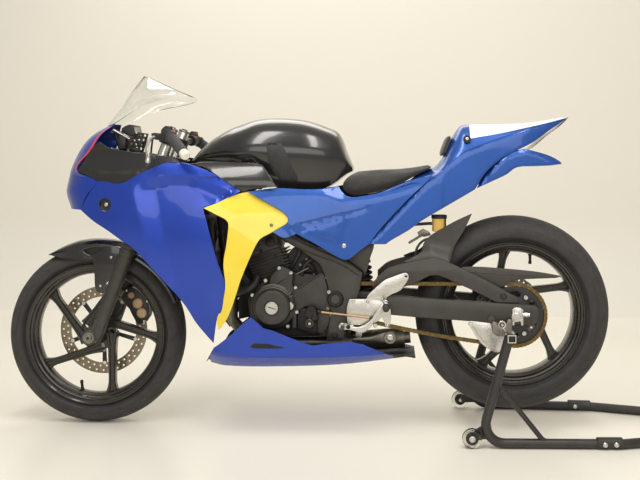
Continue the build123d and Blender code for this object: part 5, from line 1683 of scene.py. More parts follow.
sprocket = Shape().paint(SATIN_BLACK)
tooth_line = toothed(REAR, 38, ((93.6, -0.14), (93.6, 0.14), (92.2, 0.34), (92.2, 0.66)))
slots = []
for at in (math.radians(32 + 60 * k) for k in range(6)):
    corners = ((60, -0.24), (74, -0.24), (76, 0), (74, 0.24), (60, 0.24), (58, 0))
    slots.append(loop(*[[polar(REAR, r, at + t)] for r, t in corners], step=8))
plate(sprocket, tooth_line, CHAIN_LINE - 3, CHAIN_LINE + 3, 0.9, slots)
knob(sprocket, REAR, CASE_FACE, [(0, 44), (2, 46), (17, 46), (20, 42), (20, 9.1), (0, 9.1)], FRAME, 60)
for k in range(6):
    at = polar(REAR, 66, math.radians(2 + 60 * k))
    knob(sprocket, at, CHAIN_LINE + 3, domed(9, 3, 1), DARK, 20)
    hex_bolt(sprocket, (at[0], CHAIN_LINE + 5, at[1]), ACROSS, 5.2, 5, STEEL)
sprocket.make("rear_sprocket", "steel", "rear_wheel", sharp=30)

rear_axle = Shape().paint(STEEL)
knob(rear_axle, REAR, -142, [(0, 8), (1.5, 9), (282.5, 9), (284, 8)])
for y0, y1 in ((91.4, 102.6), (-102.6, -72.4)):
    knob(rear_axle, REAR, y0, [(0, 14), (1, 15), (y1 - y0 - 1, 15), (y1 - y0, 14)])
for side in (1, -1):
    rear_axle.paint(SILVER)
    turned(rear_axle, (REAR[0], side * 137.6, REAR[1]), (0, side, 0), [(0, 15), (1.6, 15), (2, 14)], 32)
    start = Vector((REAR[0], side * 139, REAR[1]))
    rear_axle.rows(
        [ring(start + Vector((0, side * a, 0)), (0, side, 0), r, 6) for a, r in ((0, 13), (4, 13), (5, 12))]
    )
rear_axle.make("rear_axle", "frame_dark", sharp=30)


# ---------------------------------------------------------------- stand
stand = Shape().paint(STAND)
half_run = [(-454, 262, 341), (-367, 262, 15), (-800, 245, 15), (-1158, 122, 15)]
run = half_run + [(x, -y, z) for x, y, z in reversed(half_run)]
pipe(stand, bent_path(run, 58, 10), 15, 28)
side = Shape().paint(STAND)
brace = bent_path([(-424, 260, 190), (-430, 260, 182), (-556, 255, 28), (-566, 255, 24)], 20, 4)
pipe(side, brace, [9.5] * 2 + [10] * 8 + [9.5] * 2, 20, squash=0.8)
cheek = [(-347, 22), (-341, 41), (-352, 50), (-390, 76), (-402, 66), (-404, 38), (-396, 24)]
plate(side, cheek, 242, 250, 1.5)
start, end = Vector((-722, 250, 18)), Vector((-798, 245, 18))
turned(side, start, end - start, [(-1, 16.2), (0, 17), (1.5, 18), (74.5, 18), (76, 17), (77, 16.2)], 28)
for x, y in ((-744, 266.6), (-778, 264.3)):
    screw(side, (x, y, 17), (0.06, 1, 0), 7.5, 4, STEEL)
screw(side, (-744, 231.5, 17), (-0.06, -1, 0), 7.5, 4, STEEL)
tube = [(-472, 347), (-472, 323), (-446, 323), (-446, 347)]
plate(side, tube, 136.6, 262, 1.2)
side.paint(STAND)
plate(side, tube, 262, 281, 1.0)
side.paint(SILVER)
bore = [(-469, 344), (-469, 326), (-449, 326), (-449, 344)]
plate(side, tube, 281, 284, 0.6, [bore])
side.paint(DARK)
plate(side, bore, 281, 282, 0.2)
side.paint(DULL_STEEL)
plate(
    side,
    [
        (-476, 323), (-474, 375), (-462, 375), (-457, 357), (-450, 347.7), (-438, 347.7), (-430, 357),
        (-426, 367), (-414, 367), (-416, 335), (-432, 321),
    ],
    138, 148, 1.5,
)
knob(side, ROLLER_AXLE, 242, [(0, 5.9), (38, 5.9)], STEEL)
side.mirror()
stand.take(side)
stand.make("paddock_stand", "stand_dark", sharp=30)

for label, sign in (("left", 1), ("right", -1)):
    wheel = Shape().paint(ROLLER)
    near = min(sign * 252, sign * 276)
    knob(
        wheel, ROLLER_AXLE, near,
        [(0, 18.5), (0, 25), (3, 29.2), (6, 30), (18, 30), (21, 29.2), (24, 25), (24, 18.5)], ROLLER, 56,
    )
    knob(
        wheel, ROLLER_AXLE, near + 2, [(0, 6.1), (0, 18), (1, 19), (19, 19), (20, 18), (20, 6.1)], DARK, 40,
    )
    for k in range(5):
        at = polar(ROLLER_AXLE, 14, math.tau * k / 5)
        knob(wheel, at, near + 1, [(0, 2.4), (22, 2.4)], PLASTIC, 10)
    wheel.make(f"stand_roller_{label}", "roller_clear", f"stand_roller_{label}", sharp=35)
    end = sign * 280
    bolt = Shape()
    hex_bolt(bolt, (ROLLER_AXLE[0], end - sign * 2, ROLLER_AXLE[1]), (0, sign, 0), 7, 5.5, SILVER)
    bolt.make(f"roller_bolt_{label}", "steel")


# ---------------------------------------------------------------- rear brake
rear_brake = Shape().paint(SATIN_BLACK)
caliper_line = loop(
    [(-436, 434)], [(-388, 424)], [(-367, 452), (-368, 462)], [(-380, 474)], [(-424, 486), (-434, 480)],
    step=8,
)
plate(rear_brake, caliper_line, -95, -82.6, 2.5)
plate(rear_brake, caliper_line, -67, -59.5, 2.5)
bridge_line = [polar(REAR, r, a) for r, a in ((116, 0.62), (126, 0.66), (126, 0.9), (116, 0.98))]
plate(rear_brake, bridge_line, -84, -66, 1)
plate(rear_brake, [(-430, 412), (-372, 412), (-368, 450), (-420, 470)], -102.7, -95, 2)
for x, z in ((-412, 458), (-394, 446)):
    knob(rear_brake, (x, z), -61, domed(10, 4, 2), SATIN_BLACK, 28)
for x, z in ((-425, 440), (-378, 460), (-425, 476)):
    hex_bolt(rear_brake, (x, -60.5, z), ACROSS, 5, 4, STEEL)
rear_brake.make("rear_caliper", "black_metal", sharp=30)

OIL = clear("amber_reservoir", (0.85, 0.56, 0.15), 0.28, 1.42)
pot = Shape().paint(OIL)
turned(pot, (*RESERVOIR, 643), UP, [(0, 18), (1.5, 21.5), (4, 23), (42, 23), (43, 21)], 48)
pot.paint(PLASTIC)
turned(pot, (*RESERVOIR, 685), UP, [(0, 22), (0.5, 24.6), (2, 25), (11, 25), (13, 23)], 48)
for k in range(24):
    rib = Vector((*polar(RESERVOIR, 24.6, math.tau * k / 24), 686))
    bar(pot, rib, rib + Vector((0, 0, 10)), 0.9, 6, 0.2)
pot.paint(RUBBER)
outlet = [
    (*RESERVOIR, 644), (-240, 40, 628), (-222, 42, 622), (-196, 46, 612), (-178, 48, 590), (-172, 48, 562),
]
hose(pot, outlet, 4, 10, 6)
pot.paint(DULL_STEEL)
plate(pot, [(-218, 642), (-196, 653), (-178, 640), (-182, 628), (-202, 626), (-222, 632)], 48, 54, 1.5)
bar(pot, (-200, 51, 636), (-150, 60, 606), 4, 12)
pot.make("brake_reservoir", "reservoir_gold", sharp=35)


# ---------------------------------------------------------------- main frame
spine = Shape().paint(FRAME)
tube_line = smooth_path([(637, 26, 795), (540, 56, 764), (430, 84, 722), (330, 97, 676), (232, 106, 626)])
pipe(spine, tube_line, [17] * 6 + [18.5] * 12 + [20] * 15, 26)
pipe(spine, [(653, 22, 750), (540, 54, 735), (430, 84, 722)], 13.5, 22)
turned(spine, (244, 105, 632), (-0.88, 0.06, -0.42), [(0, 20), (3, 23.5), (12, 24), (16, 21)], 30)
CASTING = [
    (246, 640), (230, 634), (194, 610), (161, 592), (103, 574), (54, 552), (22, 534), (-3, 514), (3, 472),
    (13, 431), (49, 329), (54, 300), (111, 292), (104, 348), (98, 389), (100, 422), (105, 454), (115, 495),
    (123, 515), (136, 541), (169, 565), (214, 596), (255, 622),
]
plate(spine, loop(CASTING[:8], CASTING[7:12], CASTING[11:13], CASTING[12:], step=12), 104, 122, 5)
ridge = smooth_path(
    [(238, 115, 626), (190, 117, 599), (140, 117, 578), (90, 117, 560), (45, 117, 537), (8, 116, 510)], 6,
)
pipe(spine, ridge, list(np.linspace(17, 10, len(ridge))), 22)
plate(
    spine,
    loop(
        [(60, 560), (0, 520), (-8, 504)], [(-8, 500), (-20, 532), (-28, 565), (-38, 598)],
        [(-20, 606), (20, 600), (90, 580)], step=12,
    ),
    98, 108, 3,
)
plate(spine, [(430, 735), (372, 712), (352, 596), (386, 590)], 82, 90, 2.5)
plate(spine, [(172, 604), (214, 622), (204, 672), (176, 672)], 99.4, 106, 2)
plate(spine, [(386, 706), (402, 712), (402, 799), (386, 799)], 84, 92, 1.5)
knob(
    spine, (83, 429), 121, [(0, 27), (2, 27), (3, 25), (9, 24), (11, 22), (11, 16), (10, 15), (10, 0.5)],
    DARK, 48,
)
knob(spine, (83, 429), 131, [(0, 14), (1, 14), (1.6, 13)], FRAME, 40)
for x, z, r in ((84, 314, 8), (366, 606, 6), (104, 451, 4.5)):
    hex_bolt(spine, (x, 91 if x == 366 else 122.5, z), ACROSS, r, 6, DARK if x == 84 else STEEL)
spine.paint(FRAME)
spine.mirror()
knob(spine, PIVOT, -104, [(0, 8.7), (208, 8.7)], STEEL, 24)
knob(spine, SHOCK_PIVOT, -104, [(0, 11), (208, 11)], FRAME, 24)
knob(spine, FRAME_TUBE, -104, [(0, 13), (208, 13)], FRAME, 28)
up_axis = Vector((-math.sin(RAKE), 0, math.cos(RAKE)))
rows = [
    ring(Vector(STEER_FOOT) + up_axis * a, up_axis, r, 40)
    for a, r in (
        (470, 15.1), (470, 30), (473, 33), (485, 33), (489, 30), (575, 30), (579, 33), (591, 33), (594, 30),
        (594, 15.1),
    )
]
spine.rows(rows, along=True)
spine.make("main_frame", "frame_dark", sharp=30)


# ---------------------------------------------------------------- engine
motor = Shape().paint(ENGINE)
plate(
    motor,
    [
        (340, 470), (372, 420), (360, 330), (300, 300), (130, 300), (118, 350), (118, 430), (140, 500),
        (240, 512),
    ],
    -96, 72, 8,
)
plate(motor, [(238, 500), (343, 464), (376, 556), (270, 592)], -60, 60, 4)
for k in range(8):
    x, z = 225 + 3.4 * k, 512 + 9.7 * k
    plate(motor, [(x, z), (x + 122, z - 41), (x + 123.4, z - 37.4), (x + 1.4, z + 3.6)], -72, 72, 1.2)
plate(
    motor, [(264, 590), (376, 552), (396, 616), (382, 644), (352, 654), (292, 650), (280, 640)], -70, 70, 8,
)
plate(motor, [(284, 640), (376, 618), (380, 646), (302, 667)], -54, 54, 5)
plate(motor, [(136, 300), (100, 306), (100, 330), (136, 345)], -93, 93, 3)
plate(motor, [(340, 640), (385, 640), (385, 596), (340, 596)], -81, 81, 4)
for x, z, r in ((300, 606, 17), (352, 590, 17)):
    knob(motor, (x, z), 68, domed(r, 8, 3), DARK, 32)
    hex_bolt(motor, (x, 76, z), ACROSS, 5, 5, DARK)
for x, z in ((275, 600), (316, 640), (372, 630), (330, 575), (282, 560), (350, 530)):
    hex_bolt(motor, (x, 70, z), ACROSS, 4.6, 6, DARK)
motor.paint(PLASTIC)
coolant = [(300, 30, 652), (262, 34, 668), (222, 36, 640), (196, 40, 596), (190, 44, 548), (196, 50, 500)]
hose(motor, coolant, 9, 16)
hose(motor, [(372, 40, 470), (400, 46, 510), (412, 50, 560), (410, 52, 610)], 11, 16)
thermostat = loop([(150, 505)], [(236, 506)], [(244, 560), (228, 585), (196, 592)], [(160, 560)], step=10)
plate(motor, thermostat, 20, 62, 6)
for x, z in ((156, 501), (180, 549), (201, 532)):
    hex_bolt(motor, (x, 62, z), ACROSS, 3.8, 5, DULL_STEEL)
bar(motor, (214, 86, 503), (173, 86, 524), 2.4, 12)
motor.paint(PLASTIC)
web = loop([(168, 560)], [(140, 548), (112, 520), (92, 470), (92, 430)], [(124, 430)], [(150, 506)], step=10)
plate(motor, web, 58, 66, 2)
hose(motor, [(196, 74, 500), (186, 78, 530), (168, 76, 548), (140, 70, 556)], 8, 14)
hose(motor, [(236, 66, 520), (216, 76, 548), (204, 80, 572), (206, 78, 596)], 7, 14)
hose(motor, [(150, 68, 506), (160, 76, 524), (178, 78, 538), (196, 70, 540)], 5.5, 12)
plate(
    motor,
    loop(
        [(424, 560)], [(372, 556), (352, 480), (368, 420), (362, 362)], [(380, 340)], [(424, 330)], step=14,
    ),
    -88, -84, 1,
)
hose(motor, [(404, 70, 440), (384, 96, 448), (364, 104, 455), (346, 96, 470), (338, 80, 492)], 12.5, 18)
motor.make("engine", "engine_dark", sharp=30)

covers = Shape().paint(ENGINE)
knob(
    covers, ALTERNATOR, CASE_FACE,
    [
        (0, 73), (34, 73), (40, 70), (43, 65), (43.7, 60), (58, 59.5), (68, 58), (74, 55), (76.5, 51),
        (76.5, 25), (74, 24), (74, 1),
    ],
    sides=96,
)
covers.paint(DULL_STEEL)
for radius, first, last, y in ((71, 58, 124, 113.5), (67, 50, 132, 116), (61.5, 44, 140, 121)):
    arc = [wheel_point(ALTERNATOR, radius, math.radians(a), y) for a in np.linspace(first, last, 24)]
    pipe(covers, arc, 1.8, 10)
for a in (math.radians(142), math.radians(150)):
    pipe(covers, [wheel_point(ALTERNATOR, 60, a, 121), wheel_point(ALTERNATOR, 73, a, 112)], 2.0, 8)
knob(
    covers, ALTERNATOR, 146, [(0, 20.5), (3.4, 20.5), (4.6, 19.6), (4.6, 17.5), (4, 17), (4.4, 0.5)],
    SILVER, 48,
)
covers.paint(DARK)
slit = [(ALTERNATOR[0] + x, ALTERNATOR[1] + z) for x, z in ((-12, -5), (12, 3), (11, 5.5), (-13, -2.5))]
plate(covers, slit, 149.6, 150.9, 0.2)
knob(covers, (228, 406), 100, [(0, 17), (28, 16.5), (31, 14)], ENGINE, 36)
knob(covers, (228, 406), 130, [(0, 12.8), (4, 12.8), (5.5, 11.5), (5.5, 3), (4.5, 2.5)], SILVER, 36)
covers.paint(ENGINE)
UPPER = loop(
    [(330, 440), (300, 470), (297, 490), (287, 506)],
    [(287, 506), (278, 516), (270, 529), (256, 532), (240, 525)], [(240, 525), (226, 518), (219, 500)],
    [(219, 500), (222, 477), (224, 440)], step=7,
)
plate(covers, UPPER, CASE_FACE, 112, 6)
SPROCKET_SIDE = loop(
    [(220, 450), (193, 466)], [(128, 510)], [(122, 508), (113, 480), (106, 449)], [(101, 421), (98, 390)],
    [(143, 396), (176, 404), (212, 390)], step=9,
)
plate(covers, SPROCKET_SIDE, 102, 116, 3)
hose(covers, [(218, 117, 452), (192, 117, 468), (150, 117, 497), (127, 117, 510)], 2.4, 8, 5)
plate(covers, [(222, 464), (208, 468), (208, 332), (222, 332)], CASE_FACE, 112, 3)
plate(covers, [(142, 394), (100, 388), (102, 350), (120, 318), (140, 318)], 102, 114, 3)
covers.paint(DARK)
pump_plate = loop([(206, 398), (205, 330)], [(205, 330), (170, 318), (142, 320)], [(142, 394)], step=12)
plate(covers, pump_plate, 102, 106, 2)
for x, z, r, y0, y1 in ((160, 386, 19, 105, 136), (164, 352, 17, 105, 134), (148, 372, 11, 105, 140)):
    knob(covers, (x, z), y0, [(0, r), (y1 - y0 - 2, r), (y1 - y0, r - 2)], DARK, 30)
knob(
    covers, WATER_PUMP, 134, [(0, 15.5), (3, 15.5), (5, 13), (5, 8), (2, 7), (2, 4.5), (5, 4), (5, 0.5)],
    SATIN_BLACK, 36,
)
knob(covers, WATER_PUMP, 138, [(0, 4.5), (1.6, 4), (1.6, 1)], STEEL, 16)
for x, z, y in (
    (265, 525, 112), (227, 510, 112), (309, 484, 108), (352, 436, 104), (211, 463, 116), (207, 385, 112),
    (236, 338, 108), (330, 345, 106), (112, 498, 116), (108, 398, 116),
):
    knob(covers, (x, z), y - 14, [(0, 7.5), (12.5, 7.5), (14, 6.4)], ENGINE, 20)
    hex_bolt(covers, (x, y, z), ACROSS, 4.2, 4, SILVER if x > 200 else DULL_STEEL)
covers.paint(ENGINE)
knob(
    covers, CLUTCH, -96.3,
    [(0, 88), (-30, 88), (-36, 85), (-38, 78), (-43, 74), (-44, 66), (-44, 34), (-41, 32), (-41, 1)],
    sides=96,
)
knob(
    covers, (175, 430), -96.3, [(0, 52), (-30, 52), (-34, 50), (-36, 46), (-36, 18), (-34, 16), (-34, 1)],
    sides=64,
)
for k in range(10):
    x, z = polar(CLUTCH, 82, math.tau * k / 10 + 0.2)
    hex_bolt(covers, (x, -130, z), (0, -1, 0), 4.8, 5, SILVER)
knob(covers, CLUTCH, -136.8, [(0, 31), (-2, 30), (-2, 1)], SILVER, 40)
covers.make("engine_covers", "engine_dark", sharp=30)


# ---------------------------------------------------------------- radiator
cooler = Shape().paint(DARK)
up_core = Vector((22, 0, 216)).normalized()
foot = Vector((489, 0, 478))
for side in (-1, 1):
    tank = [foot + up_core * a + Vector((x, 0, 0)) for a, x in ((0, -10), (0, 12), (216, 12), (216, -10))]
    plate(cooler, [(p.x, p.z) for p in tank], side * 108, side * 129.5, 6)
cooler.paint(DULL_STEEL)
for k in range(44):
    at = foot + up_core * (4 + k * 4.85)
    core = [at + Vector((x, 0, z)) for x, z in ((-9, 0), (11, 0), (11, 1.1), (-9, 1.1))]
    plate(cooler, [(p.x, p.z) for p in core], -108, 108, 0.2)
cooler.paint(DARK)
core = [foot + up_core * a + Vector((x, 0, 0)) for a, x in ((0, -4), (0, 6), (216, 6), (216, -4))]
plate(cooler, [(p.x, p.z) for p in core], -108, 108, 0.5)
shroud = [(468, 500), (482, 500), (501, 680), (486, 682)]
for side in (-1, 1):
    plate(cooler, shroud, side * 84, side * 90, 2)
hub = foot + up_core * 108 + Vector((-14, 0, 0))
turned(cooler, hub, (1, 0, 0.1), [(0, 26), (10, 26)], 32)
for k in range(7):
    a = math.tau * k / 7
    across, rise = Vector((0, math.cos(a), math.sin(a))), Vector((0, -math.sin(a), math.cos(a)))
    rows = []
    for out, low, high, twist in ((22, 9, 9, 6), (74, 18, 16, 8)):  # the blade's root and tip
        at = hub + across * out
        corners = ((-low, 0), (high, twist), (high, twist + 2), (-low, 2))
        rows.append([at + rise * up + Vector((forward, 0, 0)) for up, forward in corners])
    cooler.rows(rows)
for side in (-1, 1):
    plate(cooler, [(502, 690), (518, 688), (520, 736), (504, 736)], side * 56, side * 64, 1.5)
cooler.make("radiator", "silver", sharp=30)


# ---------------------------------------------------------------- rear shock and its link
shock = Shape().paint(SATIN_BLACK)
top, low = Vector((2, 0, 552)), Vector((-16, 0, 396))
turned(shock, top, low - top, [(0, 12), (2, 22), (14, 27), (18, 27), (20, 14), (150, 10)], 32)
way = (low - top).normalized()
_, u, v = basis(way)
coil = []
for t in np.linspace(0, 1, 150):
    a = math.tau * 6 * t
    coil.append(top + way * (22 + 100 * t) + u * (24 * math.cos(a)) + v * (24 * math.sin(a)))
shock.paint(PLASTIC)
pipe(shock, coil, 4.6, 10)
shock.paint(SILVER)
turned(shock, top + way * 124, way, [(0, 28), (8, 28), (9, 20), (30, 16), (36, 13)], 32)
shock.paint(SATIN_BLACK)
plate(
    shock, loop([(22, 562), (-4, 570), (-14, 560)], [(-14, 542), (8, 532), (24, 546)], step=8), -12, 12, 3,
)
plate(shock, [(-38, 385), (-38, 360), (10, 300), (40, 296), (34, 318), (-8, 385)], -14, 14, 3)
shock.paint(DULL_STEEL)
LINK = loop(
    [(30, 296)], [(-24, 300), (-62, 312), (-84, 319)],
    [(-84, 319), (-104, 315), (-113, 298), (-106, 281), (-90, 277)], [(-90, 277), (-44, 283)], [(30, 283)],
    step=7,
)
plate(shock, LINK, 52, 62, 4)
knob(shock, (-92, 298), 50, [(0, 21), (13, 21), (15, 19), (15, 12), (12, 11), (12, 1)], DULL_STEEL, 36)
hex_bolt(shock, (-92, 62, 298), ACROSS, 8, 6, STEEL)
turned(shock, (10, 0, 306), ACROSS, [(-14, 11), (60, 11)], 24)
shock.make("rear_shock", "black_metal", sharp=32)


# ---------------------------------------------------------------- rearsets
foot_set = Shape().paint(SILVER)
SET_PLATE = loop(
    [(36, 432), (-66, 434)], [(-66, 434), (-84, 428), (-92, 412)], [(-92, 412), (-95, 374), (-90, 350)],
    [(-90, 350), (-84, 343), (-77, 348)], [(-77, 348), (-74, 360), (-66, 376)],
    [(-66, 376), (-45, 358), (-20, 350)], [(36, 350), (52, 354)],
    [(60, 352), (68, 346), (62, 337), (50, 338)], [(36, 340)], [(44, 360), (46, 400), (40, 426)], step=6,
)
plate(foot_set, SET_PLATE, 136, 142, 1.2, [circle((-20, 424), 2.5, 8), circle((26, 424), 2.5, 8)])
HEEL = loop(
    [(-16, 434), (-22, 447)], [(-48, 472), (-74, 494), (-100, 505), (-129, 516)],
    [(-129, 516), (-143, 517), (-150, 505), (-144, 490)], [(-125, 463), (-110, 455), (-97, 450)],
    [(-81, 440), (-71, 430)], step=6,
)
plate(foot_set, HEEL, 142, 146, 1.2, [circle((-141, 506), 3.5, 12)])
SHIFT = loop(
    [(58, 356), (66, 348), (58, 338)], [(33, 336), (-5, 328)], [(-29, 344), (-49, 374)],
    [(-74, 404), (-78, 414), (-70, 422), (-62, 418)], [(-45, 392), (-29, 368)],
    [(-9, 352), (11, 346), (39, 351)], step=6,
)
plate(foot_set, SHIFT, 148, 156, 2.5)
for x, z, y in ((26, 424, 142), (-72, 424, 142), (-20, 424, 142), (-66, 432, 146), (-84, 352, 142)):
    screw(foot_set, (x, y, z), ACROSS, 5, 3.5, STEEL)
knob(foot_set, (60, 347), 122.3, [(0, 8), (26, 8), (28, 11), (36, 11), (38, 9)], SILVER, 28)
knob(foot_set, (40, 346), 156, domed(7, 4, 1.5), DARK, 24)
knob(foot_set, (-79, 412), 134, [(0, 15), (14, 15), (20, 13), (24, 10)], SILVER, 32)
knob(foot_set, (-45, 350), 142, [(0, 7), (8, 7), (9, 6)], STEEL, 20)
ribs = [(a, 10.5 if k % 2 else 9) for k, a in enumerate(np.linspace(4, 66, 24))]
foot_set.paint(SATIN_BLACK)
turned(foot_set, (-79, 154, 411), (0, 1, 0.03), [(0, 8), *ribs, (70, 10), (72, 6)], 24)
knob(foot_set, (58, 346), 156, [(0, 6), (34, 6), (36, 5)], RUBBER, 20)
foot_set.paint(COPPER)
bar(foot_set, (-40, 151, 374), (137, 144, 391), 3.6, 14)
foot_set.paint(DARK)
for x, z, y in ((-34, 374, 151), (134, 391, 144)):
    turned(foot_set, (x, y, z), (1 if x > 0 else -1, 0, 0.08), [(-8, 5), (4, 5), (6, 3)], 12)
foot_set.mirror()
foot_set.make("rearsets", "silver", sharp=30)


# ---------------------------------------------------------------- fork legs, axle and front caliper
def on_leg(along, y, ahead=0.0):
    """A point beside a fork leg: a distance up from axle level, and a distance ahead of its line."""
    return Vector((
        LEG_FOOT[0] - along * math.sin(RAKE) + ahead * math.cos(RAKE),
        y,
        LEG_FOOT[1] + along * math.cos(RAKE) + ahead * math.sin(RAKE),
    ))


def on_stem(along, y=0.0, ahead=0.0):
    """A point beside the steering axis."""
    return on_leg(along, y, ahead - LEG_AHEAD)


UP_FORK = (on_leg(1, 0) - on_leg(0, 0)).normalized()
AHEAD_FORK = (on_leg(0, 0, 1) - on_leg(0, 0)).normalized()


def leg_outline(points):
    """Points given as distance up the leg and ahead of it, turned into x and z."""
    return [(p.x, p.z) for p in (on_leg(along, 0, ahead) for along, ahead in points)]


fork = Shape().paint(FRAME)
slider = [(0, 12), (2, 17), (8, 20.5), (22, 22), (60, 22.3), (250, 22.6), (296, 22.8)]
slider += [(298, 24.2), (304, 24.6), (316, 24.6), (318, 23)]
turned(fork, on_leg(-6, LEG_SPREAD), UP_FORK, slider, 40)
fork.paint(RUBBER)
seal = [(0, 22), (1, 23.4), (9, 23.4), (11, 22), (15, 21.2), (18, 19)]
turned(fork, on_leg(312, LEG_SPREAD), UP_FORK, seal, 40)
fork.paint(STEEL)
turned(fork, on_leg(328, LEG_SPREAD), UP_FORK, [(0, 18.4), (392, 18.4), (396, 17.4)], 40)
fork.paint(FRAME)
foot = [(-14, 6), (-17, 16), (-14, 28), (-5, 37), (6, 40), (18, 37), (27, 29), (40, 21), (64, 20)]
foot += [(64, -17), (20, -19), (0, -14)]
plate(fork, leg_outline(foot), 70, 112, 6)
knob(fork, FRONT, 110, [(0, 25), (5, 24), (6.5, 22)], FRAME, 36)
knob(fork, FRONT, 110, [(5, 18.5), (7.6, 18), (8, 16.5)], DULL_STEEL, 36)
for along, ahead in ((-6, 12), (34, 24)):
    at = on_leg(along, 84, ahead)
    screw(fork, at - AHEAD_FORK * 2, AHEAD_FORK, 4.6, 4, STEEL)
hex_bolt(fork, on_leg(-6, LEG_SPREAD), -UP_FORK, 8, 5, STEEL)
fork.mirror()
fork.make("fork_legs", "frame_dark", "steering")

axle = Shape().paint(DULL_STEEL)
half = [
    (124, 5.0), (124, 11), (123, 12), (118, 12), (117.6, 8), (-117.6, 8), (-118, 12), (-123, 12),
    (-124, 11), (-124, 5.0),
]
axle.rows([ring((FRONT[0], y, FRONT[1]), ACROSS, r, 32) for y, r in half], along=True, ends=False)
axle.paint(SATIN_BLACK)
for side in (-1, 1):
    turned(
        axle, (FRONT[0], side * 58.6, FRONT[1]), (0, side, 0),
        [(0, 12.6), (0.6, 13.6), (6.4, 13.6), (7, 12.6)], 32,
    )
    turned(
        axle, (FRONT[0], side * 118.4, FRONT[1]), (0, side, 0),
        [(0, 12.5), (0.4, 13.4), (3, 13.4), (3.4, 12.5)], 6,
    )
axle.make("front_axle", "frame_dark", "steering")

CALIPER = [
    (822, 405), (803, 435), (784, 443), (766, 433), (753, 421), (735, 400), (724, 380), (720, 360),
    (722, 343), (737, 320), (759, 309), (772, 325), (783, 344), (798, 375), (812, 386),
]
caliper = Shape().paint(SATIN_BLACK)
plate(caliper, CALIPER, -90, -69.5, 3)
plate(caliper, inset(anticlockwise(CALIPER), 3), -52, -45.6, 2)
bridge = [(784, 441), (766, 432), (753, 419), (735, 399), (725, 379), (722, 360), (723, 345)]
bridge += [polar(FRONT, 155, math.radians(a)) for a in (161, 152, 143, 134, 125)]
plate(caliper, bridge, -88, -47, 2.5)
for x, z, radius in ((762, 385, 15), (748, 352, 15), (784, 412, 9)):
    piston = [(0, radius + 2), (1.5, radius + 1.5), (1.6, radius), (2.4, radius - 1)]
    knob(caliper, (x, z), -46, piston, COPPER, 28)
    knob(caliper, (x, z), -89, [(0, radius + 2), (-2.5, radius), (-2.6, radius - 5)], DULL_STEEL, 28)
for x, z in ((800, 428), (740, 325), (730, 392)):
    screw(caliper, (x, -45.6, z), ACROSS, 4.2, 2.4, STEEL)
caliper.paint(DULL_STEEL)
BRAKE_PAD = [(760, 340), (742, 348), (738, 372), (752, 396), (768, 392), (760, 370)]
for y0, y1 in ((-72, -69), (-52.6, -50)):
    plate(caliper, BRAKE_PAD, y0, y1, 0.8)
caliper.paint(RUBBER)
route = [(790, -80, 440), (778, -84, 470), (770, -96, 505), (748, -100, 540), (742, -92, 575)]
hose(caliper, route, 3.6, 10, 6)
caliper.make("front_caliper", "black_metal", "steering")


# ---------------------------------------------------------------- yokes' fittings
caps = Shape()
for side in (-1, 1):
    caps.paint(DULL_STEEL)
    turned(
        caps, on_leg(722, side * LEG_SPREAD), UP_FORK, [(0, 18.6), (5, 18.6), (6.5, 17.4), (6.6, 13)], 32,
    )
    turned(caps, on_leg(727, side * LEG_SPREAD), UP_FORK, [(0, 9.8), (5, 9.8), (6, 8.8)], 6)
    for along in (444, 458, 609):
        at = on_leg(along, side * (LEG_SPREAD - 8), 29.5)
        screw(caps, at - Vector((0, side * 6, 0)), AHEAD_FORK, 4.2, 4, STEEL)
caps.paint(STEEL)
turned(caps, on_stem(617), UP_FORK, [(0, 20), (2, 20), (2.2, 17), (12, 17), (13, 16), (13.2, 11)], 6)
turned(caps, on_stem(616), UP_FORK, [(0, 22), (2.6, 22), (3, 21)], 32)
caps.make("yokes", body="steering", replaces=(), sharp=30)


# ---------------------------------------------------------------- handlebars, grips and levers
BAR_ROOT = on_leg(686, 118.5)
GRIP_INNER = Vector((600, 215, 945))
OUTWARD = (Vector((523, 321, 876)) - GRIP_INNER).normalized()
PERCH = BAR_ROOT.lerp(GRIP_INNER, 0.75)
ALONG_BAR = (GRIP_INNER - BAR_ROOT).normalized()

